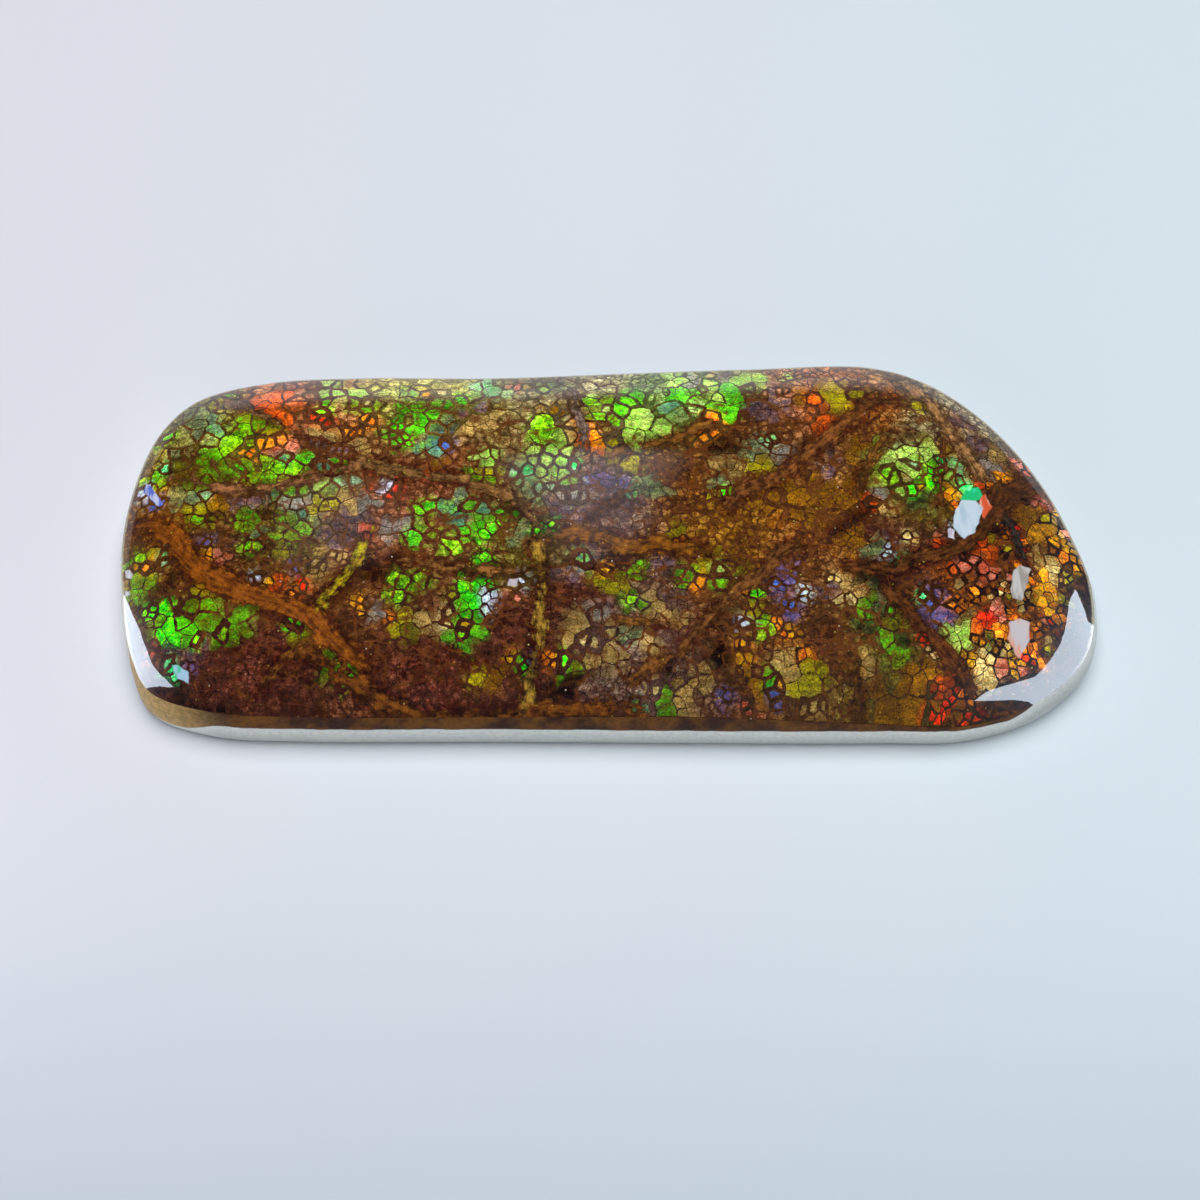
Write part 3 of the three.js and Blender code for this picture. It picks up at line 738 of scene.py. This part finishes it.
def vein_reading(spots):
    """Depth inside the nearest vein (below 0 outside), place along and across it, and its colours."""
    depth = np.full(len(spots), -1e9)
    way, bodies, streaks = (np.zeros((len(spots), 3)) for _ in range(3))
    for number, (body, streak, line) in enumerate(VEINS):
        line = np.array(numbers(line))
        run = number * 17.0
        for start, end in zip(line, line[1:]):
            edge, reach = (end - start)[:2], spots - start[:2]
            length = np.linalg.norm(edge)
            share = np.clip(reach @ edge / length ** 2, 0, 1)
            gap = np.linalg.norm(reach - share[:, None] * edge, axis=1)
            inside = start[2] + (end[2] - start[2]) * share - gap
            better = inside > depth
            depth[better] = inside[better]
            way[better, 0] = run + share[better] * length
            way[better, 1] = cross(reach, edge)[better] / length
            bodies[better], streaks[better] = shades((body, streak))
            run += length
    return depth, way, bodies, streaks


def band_depth(points):
    """Height above the line between the golden and the pale band of the wall, in millimetres.
    The golden band is broad on the straight edge and thins to a line round the other sides."""
    x, y, z = points.T
    front = smooth_step(-8.5, -12.0, y) * smooth_step(29.5, 26.0, x)
    corner = smooth_step(-25.0, -29.0, x) * smooth_step(-7.0, -10.0, y)
    return z - (3.75 - 1.2 * front - 1.5 * corner)


def lay_out_map(mesh, stone, rings):
    """Flat map of the stone: the dome seen from above, the wall in strips, and the back."""
    points = np.array(stone.points)
    ring_of = {point: (number, place) for number, ring in enumerate(rings)
               for place, point in enumerate(ring)}
    count = len(rings[0])
    top = points[rings[0]]
    run = np.cumsum([0.0, *np.linalg.norm(np.roll(top, -1, 0) - top, axis=1)])
    drop = [0.0]
    for upper, lower in zip(rings, rings[1:]):
        drop.append(drop[-1] + np.linalg.norm(points[upper] - points[lower], axis=1).mean())
    strip_points = math.ceil(count / MAP_STRIPS)
    flat = {DOME: (MAP_SCALE, MAP_SCALE, 0.79),
            BACK: (MAP_SCALE * BACK_ON_MAP, -MAP_SCALE * BACK_ON_MAP, 0.185)}
    spots = []
    for face, material in zip(stone.faces, stone.material):
        if material in flat:
            scale_x, scale_y, middle = flat[material]
            spots.extend((0.5 + points[p, 0] * scale_x, middle + points[p, 1] * scale_y) for p in face)
            continue
        places = [ring_of[p][1] for p in face]
        if max(places) - min(places) > 1:
            places = [place or count for place in places]
        strip = min(places) // strip_points
        for p, place in zip(face, places):
            spots.append((0.02 + (run[place] - run[strip * strip_points]) * MAP_SCALE,
                          0.565 - 0.072 * strip - drop[ring_of[p][0]] * MAP_SCALE))
    mesh.uv_layers.new(name="OFBake").uv.foreach_set("vector", np.array(spots, np.float32).ravel())


def dome_normals(form, plan):
    """The dome's normal over every plan point, from its slope a little further in."""
    plan = plan + unit(nearest_on_spine(plan) - plan) * SLOPE_STEP
    tilts = [(form.dome(plan - way) - form.dome(plan + way)) / (2 * SLOPE_STEP)
             for way in np.eye(2) * SLOPE_STEP]
    return unit(np.column_stack([*tilts, np.ones(len(plan))])).tolist()


def melted(faces, on_dome, values, melt):
    """Colours at the corners of the faces, each eased towards what lies round its point."""
    total, count = np.zeros((faces.max() + 1, values.shape[1])), np.zeros((faces.max() + 1, 1))
    for k in range(3):
        np.add.at(total, faces[on_dome, k], values[on_dome])
        np.add.at(count, faces[on_dome, k], 1)
    around = (total / np.maximum(count, 1))[faces]
    values = values[:, None]
    return (values + (around - values) * melt[:, None, None]).reshape(-1, values.shape[2])


def set_attribute(mesh, name, kind, domain, values):
    field = {"FLOAT": "value", "FLOAT_VECTOR": "vector", "FLOAT_COLOR": "color"}[kind]
    values = np.asarray(values, np.float32)
    if kind == "FLOAT_COLOR":
        values = np.column_stack([values, np.ones(len(values), np.float32)])
    mesh.attributes.new(name, kind, domain).data.foreach_set(field, values.ravel())


def put(name, data):
    """A new object at the origin."""
    made = bpy.data.objects.new(name, data)
    bpy.context.scene.collection.objects.link(made)
    return made


def put_mesh(name, points, faces, *materials):
    mesh = bpy.data.meshes.new(name)
    mesh.from_pydata((np.array(points) * MM).tolist(), [], faces)
    for material in materials:
        mesh.materials.append(material)
    return put(name, mesh)


def make_stone_object(form, stone, rings, tiles, dice):
    """The specimen, with the attributes that its materials read."""
    points, faces, tile = np.array(stone.points), np.array(stone.faces), np.array(stone.tile)
    on_dome = np.array(stone.material) == DOME
    made = put_mesh("ammolite_specimen", points, stone.faces,
                    polished_ammolite(), polished_edge(), sawn_back())
    mesh = made.data
    mesh.polygons.foreach_set("material_index", stone.material)
    mesh.polygons.foreach_set("use_smooth", [m != BACK for m in stone.material])
    bodies, flecks, rims, clean, melt, shell = tiles
    for name, values in (("tile_body", bodies), ("tile_fleck", flecks), ("tile_rim", rims)):
        set_attribute(mesh, name, "FLOAT_COLOR", "CORNER", melted(faces, on_dome, values[tile], melt[tile]))
    shell = melted(faces, on_dome, shell[tile, None], np.ones(len(tile)))
    traits = np.column_stack([dice.random(len(clean))[tile], stone.healed, clean[tile]])
    depth, way, vein_bodies, vein_streaks = vein_reading(points[:, :2])
    rim_gap = np.pad(stone.rim_gap, (0, len(points) - len(stone.rim_gap)))
    for name, kind, domain, values in (
            ("shell_share", "FLOAT", "CORNER", shell),
            ("tile_traits", "FLOAT_VECTOR", "FACE", traits),
            ("crack_gap", "FLOAT_VECTOR", "CORNER", stone.crack),
            ("vein_depth", "FLOAT", "POINT", depth),
            ("vein_way", "FLOAT_VECTOR", "POINT", way),
            ("vein_body", "FLOAT_COLOR", "POINT", vein_bodies),
            ("vein_streak", "FLOAT_COLOR", "POINT", vein_streaks),
            ("rim_gap", "FLOAT", "POINT", rim_gap),
            ("wall_band", "FLOAT", "POINT", band_depth(points))):
        set_attribute(mesh, name, kind, domain, values)
    lay_out_map(mesh, stone, rings)
    # the polished faces meet in a crisp crease
    crease = set(rings[0])
    sharp = [crease.issuperset(edge.vertices) for edge in mesh.edges]
    mesh.attributes.new("sharp_edge", "BOOLEAN", "EDGE").data.foreach_set("value", sharp)
    # the dome was lapped as one smooth surface, whatever its crazing: it takes its slope from the
    # form, and a normal of no length leaves the other faces as they are
    slopes = dome_normals(form, points[:, :2])
    normals = []
    for face, on_top in zip(stone.faces, on_dome):
        normals.extend(slopes[p] if on_top else (0.0, 0.0, 0.0) for p in face)
    mesh.normals_split_custom_set(normals)
    return made


# ---------------------------------------------------------------- building materials


def per_mm(size):
    """Texture scale for features about this many millimetres apart, on coordinates in metres."""
    return 1 / (size * MM)


def add(tree, kind, inputs=None, **settings):
    """Adds a shader node: settings are its own properties, and inputs are numbers, hex colours or
    other sockets."""
    made = tree.nodes.new("ShaderNode" + kind)
    for name, value in settings.items():
        setattr(made, name, value)
    for socket, value in (inputs or {}).items():
        if isinstance(value, bpy.types.NodeSocket):
            tree.links.new(value, made.inputs[socket])
        else:
            made.inputs[socket].default_value = linear(value) if isinstance(value, str) else value
    return made


def empty_tree(owner):
    owner.use_nodes = True
    owner.node_tree.nodes.clear()
    return owner.node_tree


def new_material(name):
    material = bpy.data.materials.new(name)
    return material, empty_tree(material)


def cover(tree, colour, looks):
    """Ends a material in a surface of this colour and these looks."""
    surface = add(tree, "BsdfPrincipled", {"Base Color": colour, **looks})
    add(tree, "OutputMaterial", {0: surface.outputs[0]})


def stone_place(tree):
    return add(tree, "TexCoord").outputs["Object"]


def attribute(tree, name, output="Fac"):
    return add(tree, "Attribute", attribute_name=name).outputs[output]


def axes(tree, vector):
    return add(tree, "SeparateXYZ", {0: vector}).outputs


def mix(tree, share, a, b, blend="MIX"):
    made = add(tree, "Mix", {0: share, 6: a, 7: b}, data_type="RGBA", blend_type=blend)
    return made.outputs[2]


def ramp(tree, value, low, high, start=0.0, end=1.0):
    """Eases a value from start to end while it runs from low to high."""
    made = add(tree, "MapRange", {0: value, 1: low, 2: high, 3: start, 4: end},
               interpolation_type="SMOOTHSTEP")
    return made.outputs[0]


def sums(tree, operation, a, b=0.0, c=0.0):
    return add(tree, "Math", {0: a, 1: b, 2: c}, operation=operation).outputs[0]


def times(tree, value, *factors):
    for factor in factors:
        value = sums(tree, "MULTIPLY", value, factor)
    return value


def weighed(tree, value, *parts):
    """Adds parts to a value, each by its weight."""
    for part, weight in parts:
        value = sums(tree, "MULTIPLY_ADD", part, weight, value)
    return value


def shaded(tree, colour, *patterns):
    """A colour whose brightness follows patterns: a value, its low and high, and the gain there."""
    for pattern, low, high, dark, light in patterns:
        colour = mix(tree, 1.0, colour, ramp(tree, pattern, low, high, dark, light), "MULTIPLY")
    return colour


def mottle(tree, place, size, detail=2.0):
    inputs = {"Vector": place, "Scale": per_mm(size), "Detail": detail, "Roughness": 0.6}
    return add(tree, "TexNoise", inputs).outputs["Fac"]


def net_gap(tree, place, size):
    """Distance to the lines of an irregular net, as a share of its mesh size."""
    inputs = {"Vector": place, "Scale": per_mm(size)}
    return add(tree, "TexVoronoi", inputs, feature="DISTANCE_TO_EDGE").outputs["Distance"]


def stretched(tree, place, scales):
    return add(tree, "VectorMath", {0: place, 1: scales}, operation="MULTIPLY").outputs[0]


def bent(tree, place, size, detail, reach):
    """The place, pushed by noise of this size, and by half the reach (in mm) on average."""
    push = add(tree, "TexNoise", {"Vector": place, "Scale": per_mm(size), "Detail": detail})
    return add(tree, "VectorMath", {0: push.outputs["Color"], 1: (reach * MM,) * 3, 2: place},
               operation="MULTIPLY_ADD").outputs[0]


# ---------------------------------------------------------------- materials

WANDER = 0.3                   # reach of the wander of fine lines and flake rims


def flake_outside(tree, place, corners):
    """How far a place lies outside an even-sided outline, in metres, and below 0 inside it."""
    outside = -1.0
    for (ax, ay), (bx, by) in round_pairs(corners):
        out = Vector((by - ay, ax - bx, 0.0)).normalized()
        start = Vector((ax + WANDER / 2, ay + WANDER / 2, 0.0)) * MM
        reach = add(tree, "VectorMath", {0: place, 1: out}, operation="DOT_PRODUCT").outputs["Value"]
        outside = sums(tree, "MAXIMUM", outside, sums(tree, "SUBTRACT", reach, out.dot(start)))
    return outside


def crazed_shell(tree, place, wander, grains):
    """Shell in tiles of one colour each, flecked, mottled and layered, with the cracks between."""
    broad, coarse, middle, fine = grains
    widths_off, mm_off, share_off = axes(tree, attribute(tree, "crack_gap", "Vector"))
    luck, healed, clean = axes(tree, attribute(tree, "tile_traits", "Vector"))
    layers = mottle(tree, stretched(tree, place, (0.28, 1.4, 1.0)), 0.5, 3.0)
    fleck = ramp(tree, weighed(tree, middle, (luck, 0.16)), 0.54, 0.68)
    colour = mix(tree, fleck, attribute(tree, "tile_body", "Color"), attribute(tree, "tile_fleck", "Color"))
    colour = shaded(tree, colour, (layers, 0.35, 0.65, 0.75, 1.25))
    # rust round the grains that are smaller than their tile
    shelly = weighed(tree, share_off, (middle, 0.5), (clean, 1.0))
    colour = mix(tree, ramp(tree, shelly, 1.2, 1.34), attribute(tree, "tile_rim", "Color"), colour)
    colour = shaded(tree, colour, (fine, 0.3, 0.72, 0.55, 1.6), (broad, 0.35, 0.65, 0.72, 1.25),
                    (middle, 0.35, 0.65, 0.72, 1.3))
    # each tile dulls towards its rim
    colour = shaded(tree, colour, (mm_off, 0.0, 0.09, 0.84, 1.0))
    # hairlines too fine to part the tiles, drawn 0.03 mm wide so that they show
    hair = times(tree, ramp(tree, net_gap(tree, wander, 0.4), 0.02, 0.09, 1.0, 0.0),
                 ramp(tree, coarse, 0.4, 0.6, 0.1, 0.75))
    colour = mix(tree, hair, colour, "#70583c", "MULTIPLY")
    # cracks between the tiles, from open and dark to healed with rust
    crack = ramp(tree, weighed(tree, widths_off, (middle, 1.6), (fine, 0.9)), 1.9, 2.7, 1.0, 0.0)
    crack = times(tree, crack, ramp(tree, broad, 0.38, 0.6, 0.6, 1.0))
    rust = mix(tree, ramp(tree, middle, 0.35, 0.65), "#34160a", "#74400f")
    opened = mix(tree, attribute(tree, "shell_share"), "#986c54", "#7c4c34")
    opened = mix(tree, 1.0, colour, opened, "MULTIPLY")
    return mix(tree, crack, colour, mix(tree, healed, opened, rust))


def matted_matrix(tree, colour, place, wander, grains):
    """The matrix is matted: strands of rust and dark clay wind through it, and a net of thin rust
    seams crosses the tiles, both less so at the rim."""
    _, coarse, middle, fine = grains
    inland = ramp(tree, attribute(tree, "rim_gap"), 1.5, 4.0, 0.3, 1.0)
    in_matrix = ramp(tree, attribute(tree, "shell_share"), 0.2, 0.8, 1.0, 0.2)
    run = stretched(tree, wander, (0.5, 1.0, 1.0))
    for size, width, body, amount in ((1.5, 0.03, "#3c1c0c", 0.85), (1.1, 0.026, "#84461a", 0.5)):
        strand = add(tree, "TexNoise", {"Vector": run, "Scale": per_mm(size), "Detail": 3.0, "W": size},
                     noise_dimensions="4D").outputs["Fac"]
        strand = sums(tree, "ABSOLUTE", sums(tree, "SUBTRACT", strand, 0.5))
        strand = times(tree, ramp(tree, strand, 0.25 * width, width, amount, 0.0), in_matrix,
                       ramp(tree, coarse, 0.4, 0.55, 0.3, 1.0), inland)
        colour = mix(tree, strand, colour, body)
    drift = bent(tree, place, 3.0, 3.0, 2.6)
    for size, width in ((5.2, 0.026), (2.6, 0.03)):
        net = weighed(tree, net_gap(tree, drift, size), (middle, -1.6 * width))
        net = times(tree, ramp(tree, net, -0.6 * width, 0.5 * width, 1.0, 0.0),
                    ramp(tree, coarse, 0.42, 0.56, 0.0, 0.85), inland)
        colour = mix(tree, net, colour, mix(tree, fine, "#3c1a0a", "#824a14"))
    return colour


def veined(tree, colour, grains):
    """Rust-brown fibres that run with each vein, in a dark rim, and iron stain round it."""
    _, coarse, middle, fine = grains
    depth = attribute(tree, "vein_depth")
    colour = mix(tree, ramp(tree, depth, -0.7, 0.0, 0.0, 0.75), colour, "#b07040", "MULTIPLY")
    way = stretched(tree, attribute(tree, "vein_way", "Vector"), (0.9, 3.6, 1.0))
    fibre = add(tree, "TexNoise", {"Vector": way, "Scale": 1.0, "Detail": 4.0, "Roughness": 0.65})
    fibre = fibre.outputs["Fac"]
    ragged = weighed(tree, depth, (coarse, 1.1), (middle, 0.9), (fibre, 1.0))
    vein = mix(tree, ramp(tree, fibre, 0.36, 0.62), attribute(tree, "vein_body", "Color"),
               attribute(tree, "vein_streak", "Color"))
    vein = shaded(tree, vein, (fine, 0.3, 0.72, 0.7, 1.3), (coarse, 0.35, 0.65, 0.66, 1.25),
                  (middle, 0.35, 0.65, 0.7, 1.25), (ragged, 1.52, 1.79, 0.45, 1.0),
                  (fibre, 0.36, 0.52, 0.8, 1.0))
    return mix(tree, ramp(tree, ragged, 1.4, 1.54), colour, vein)


def pearl_flakes_and_painted_highlights(tree, colour, place, wander):
    """Pearl flakes and painted highlights, pale spots that stand for reflections of lights: pale, with a
    crisp rim.
    """
    grain = ramp(tree, mottle(tree, stretched(tree, place, (2.2, 0.5, 1.0)), 1.2), 0.45, 0.6)
    for body, streak, corners in PEARL_FLAKES_AND_HIGHLIGHTS:
        outside = flake_outside(tree, wander, numbers(corners))
        flake = ramp(tree, outside, -0.06 * MM, 0.04 * MM, 1.0, 0.0)
        colour = mix(tree, flake, colour, mix(tree, grain, body, streak))
    return colour


def sparkling(tree, colour, place):
    """Sparks: single grains of shell caught in the matrix and the veins."""
    grain = add(tree, "TexVoronoi", {"Vector": place, "Scale": per_mm(0.3)})
    luck, hue, strength = add(tree, "SeparateColor", {0: grain.outputs["Color"]}).outputs
    lit = times(tree, ramp(tree, grain.outputs["Distance"], 0.08, 0.26, 1.0, 0.0),
                sums(tree, "GREATER_THAN", luck, 0.91), times(tree, strength, 0.9))
    hues = mix(tree, ramp(tree, hue, 0.1, 0.6), "#f09c30", "#d8d44c")
    hues = mix(tree, ramp(tree, hue, 0.7, 0.9), hues, "#f0dcc4")
    return mix(tree, lit, colour, hues)


def polished_ammolite():
    """Aragonite shell crazed over ironstone, polished and sealed with a clear coat. The thin shell
    plates break light into bright single colours, the cracks between them hold brown matrix."""
    material, tree = new_material("polished_ammolite")
    place = stone_place(tree)
    wander = bent(tree, place, 0.7, 1.0, WANDER)
    grains = [mottle(tree, place, size, detail)
              for size, detail in ((3.4, 2.0), (1.6, 2.0), (0.42, 3.0), (0.12, 2.0))]
    colour = crazed_shell(tree, place, wander, grains)
    colour = matted_matrix(tree, colour, place, wander, grains)
    colour = veined(tree, colour, grains)
    # flakes of shell, and painted highlights that stand for reflections of lights in the gloss
    colour = pearl_flakes_and_painted_highlights(tree, colour, place, wander)
    # painted highlight: a fine pale line along the crease on the far side, where the rounded edge would catch
    # the light
    rim = ramp(tree, weighed(tree, attribute(tree, "rim_gap"), (grains[2], 0.2)), 0.14, 0.32, 1.0, 0.0)
    rim = times(tree, rim, ramp(tree, axes(tree, place)[1], -10.5 * MM, -7 * MM, 0.0, 0.85))
    colour = mix(tree, rim, colour, "#c8c0a8")
    colour = sparkling(tree, colour, place)
    cover(tree, colour, {"Roughness": 0.42, "IOR": 1.53, "Specular IOR Level": 0.1,
                         "Coat Weight": 1.0, "Coat Roughness": 0.015, "Coat IOR": 1.5})
    return material


def polished_edge():
    """The stone's side, cut through shell and matrix and polished: a golden-brown band of shell
    and ironstone over a pale grey band of shale, both lightened at the left end as painted light."""
    material, tree = new_material("polished_edge")
    place = stone_place(tree)
    x, y, _ = axes(tree, place)
    cloud, grain = mottle(tree, place, 2.2, 3.0), mottle(tree, place, 0.3, 3.0)
    band = weighed(tree, attribute(tree, "wall_band"), (cloud, 0.3), (grain, 0.08))
    # painted light: towards the left end the golden band is lightened, as if lit from that side
    left = ramp(tree, x, -24 * MM, -30 * MM)
    golden = mix(tree, ramp(tree, cloud, 0.35, 0.65), "#381804", "#744606")
    golden = shaded(tree, mix(tree, left, golden, "#c8a464"), (grain, 0.35, 0.65, 0.8, 1.2))
    pale = mix(tree, ramp(tree, band, -1.6, 0.2), "#c4c6be", "#eceee8")
    pale = shaded(tree, pale, (grain, 0.35, 0.65, 0.93, 1.04))
    colour = mix(tree, ramp(tree, band, 0.15, 0.27), pale, golden)
    # painted light: the left end of the wall is lightened to cream
    left = times(tree, left, ramp(tree, y, -9 * MM, -4 * MM))
    colour = mix(tree, left, colour, "#f6f0e0")
    cover(tree, colour, {"Roughness": 0.4, "IOR": 1.55, "Specular IOR Level": 0.12})
    return material


def sawn_back():
    """Shale matrix, sawn flat and left satin: grey-cream and softly clouded."""
    material, tree = new_material("sawn_back")
    cloud = mottle(tree, stone_place(tree), 3.0, 4.0)
    colour = mix(tree, ramp(tree, cloud, 0.35, 0.65), "#8c857a", "#b0a898")
    cover(tree, colour, {"Roughness": 0.6, "IOR": 1.55})
    return material


# ---------------------------------------------------------------- floor, light and camera

CAMERA_TARGET = (-0.5, -4.15, 3.0)
CAMERA_DISTANCE = 160.0
CAMERA_ELEVATION = 66.0        # degrees above the table
FLOOR_HALF = 900.0
PANEL_DISTANCE = 700.0
ROOM_RADIANCE = 0.04           # of the room apart from its glows

# Soft glows in the room behind the stone, which lie as haze in its gloss: direction x and z,
# half sizes, and radiance
ROOM_GLOWS = [(-0.004, 0.865, 0.045, 0.05, 2.0), (-0.11, 0.893, 0.035, 0.022, 0.5),
              (-0.05, -0.05, 0.6, 0.45, 1.5)]

# The two upright reflectors, as outlines on a plane: along it (left is +) and up
LEFT_REFLECTOR = """-13 0, -12.2 1.6, -11 3.9, -8.5 7.5, -6.2 10.4, -2.5 12.6, 2.9 15.5, 11.1 21, 24.3 27.5,
    36.6 30.1, 31.5 25.5, 24.2 20.3, 15.6 12.5, 10 5.5, 9 0"""
RIGHT_REFLECTOR = """327 160, 306 205, 284 230, 210 263, 76 292, -41 294, -123 277, -168 262, -215 288,
    -293 316, -360 332, -402 322, -452 282, -389 234, -319 193, -272 149, -256 80, -250 2, 200 2, 234 118,
    279 128, 320 146"""


def white_sheet():
    """Matt white sheet under the stone: pale and cool, with painted shade that greys it a little towards the
    front.
    """
    material, tree = new_material("white_sheet")
    x, y, _ = axes(tree, stone_place(tree))
    tint = mix(tree, ramp(tree, x, -60 * MM, 60 * MM), "#e2e2ea", "#dae6ec")
    # painted shade: the sheet greys towards the front
    colour = mix(tree, ramp(tree, y, -62 * MM, -14 * MM), "#bcc8d4", tint)
    cover(tree, colour, {"Roughness": 0.6})
    return material


def make_floor():
    corners = np.array([(-1, -1, 0), (1, -1, 0), (1, 1, 0), (-1, 1, 0)]) * FLOOR_HALF
    put_mesh("floor", corners, [(0, 1, 2, 3)], white_sheet())


def aim(made, target, way, distance):
    """Stands a light or camera off its target by a distance, and turns it to face it."""
    made.location = (Vector(target) + way * distance) * MM
    made.rotation_mode = "QUATERNION"
    made.rotation_quaternion = way.to_track_quat("Z", "Y")


def soft_panel(name, azimuth, elevation, width, height, radiance):
    """A soft panel that faces the stone; azimuth 0 is behind the stone, and 90 on its right."""
    a, e = math.radians(azimuth), math.radians(elevation)
    lamp = bpy.data.lights.new(name, "AREA")
    lamp.shape = "RECTANGLE"
    lamp.size, lamp.size_y = width * MM, height * MM
    lamp.energy = radiance * math.pi * width * height * MM * MM
    lamp.color = linear("#fbfdff")[:3]
    light = put(name, lamp)
    light.visible_glossy = False
    way = Vector((math.sin(a) * math.cos(e), math.cos(a) * math.cos(e), math.sin(e)))
    aim(light, (0, 0, 0), way, PANEL_DISTANCE)


def reflector(name, azimuth, foot, outline, radiance):
    """An upright card that shows in the stone's gloss and lights nothing else. Foot is where its
    outline's origin stands; azimuth 0 is behind the stone, and 90 on its right."""
    a = math.radians(azimuth)
    along, up = np.array((-math.cos(a), math.sin(a), 0.0)), np.array((0.0, 0.0, 1.0))
    spots = [foot + along * across + up * height for across, height in numbers(outline)]
    material, tree = new_material(name)
    glow = add(tree, "Emission", {"Color": "#d6e4f4", "Strength": radiance})
    add(tree, "OutputMaterial", {0: glow.outputs[0]})
    card = put_mesh(name, spots, [range(len(spots))], material)
    card.visible_camera = card.visible_diffuse = card.visible_shadow = False


def soft_room():
    """A dim room all round, with the glows behind the stone."""
    world = bpy.data.worlds.new("soft_room")
    tree = empty_tree(world)
    x, y, z = axes(tree, add(tree, "TexCoord").outputs["Generated"])
    behind = sums(tree, "GREATER_THAN", y, 0.0)
    strength = ROOM_RADIANCE
    for middle_x, middle_z, half_x, half_z, radiance in ROOM_GLOWS:
        across = sums(tree, "DIVIDE", sums(tree, "SUBTRACT", x, middle_x), half_x)
        up = sums(tree, "DIVIDE", sums(tree, "SUBTRACT", z, middle_z), half_z)
        off = weighed(tree, times(tree, up, up), (across, across))
        strength = weighed(tree, strength, (ramp(tree, off, 0.0, 1.0, radiance, 0.0), behind))
    room = add(tree, "Background", {"Color": "#e4e8f0", "Strength": strength})
    add(tree, "OutputWorld", {0: room.outputs[0]})
    bpy.context.scene.world = world


def light_the_stone():
    """A key panel over the stone and a fill in front light the sheet and the stone. Two upright
    reflectors, on the left and the right, lie as pale crescents in the gloss of its shoulders."""
    soft_panel("key_panel", 8, 83, 500, 500, 6.4)
    soft_panel("front_fill", 205, 23, 700, 300, 1.35)
    reflector("left_reflector", -95, (-62, -8, 0), LEFT_REFLECTOR, 16.0)
    reflector("right_reflector", 105, (386.4, -103.5, 0), RIGHT_REFLECTOR, 15.0)
    soft_room()


def make_camera():
    e = math.radians(CAMERA_ELEVATION)
    data = bpy.data.cameras.new("camera")
    data.sensor_width, data.lens = 36.0, 72.0
    data.clip_start, data.clip_end = 0.01, 10.0
    camera = put("camera", data)
    aim(camera, CAMERA_TARGET, Vector((0, -math.cos(e), math.sin(e))), CAMERA_DISTANCE)
    bpy.context.scene.camera = camera


form = StoneForm()
dice = np.random.default_rng(DICE_SEED)
noise.seed_set(NOISE_SEED)     # its vectors start from the clock otherwise
stone, loop, place, tile_table = build_stone(form, dice)
rings = add_wall_and_back(stone, form, loop, place)
tiles = tile_colours(*tile_table, dice)
specimen = make_stone_object(form, stone, rings, tiles, dice)
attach(specimen, "root")
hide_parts("ammolite_stone")
make_floor()
light_the_stone()
make_camera()
bpy.context.scene.view_settings.view_transform = "Standard"
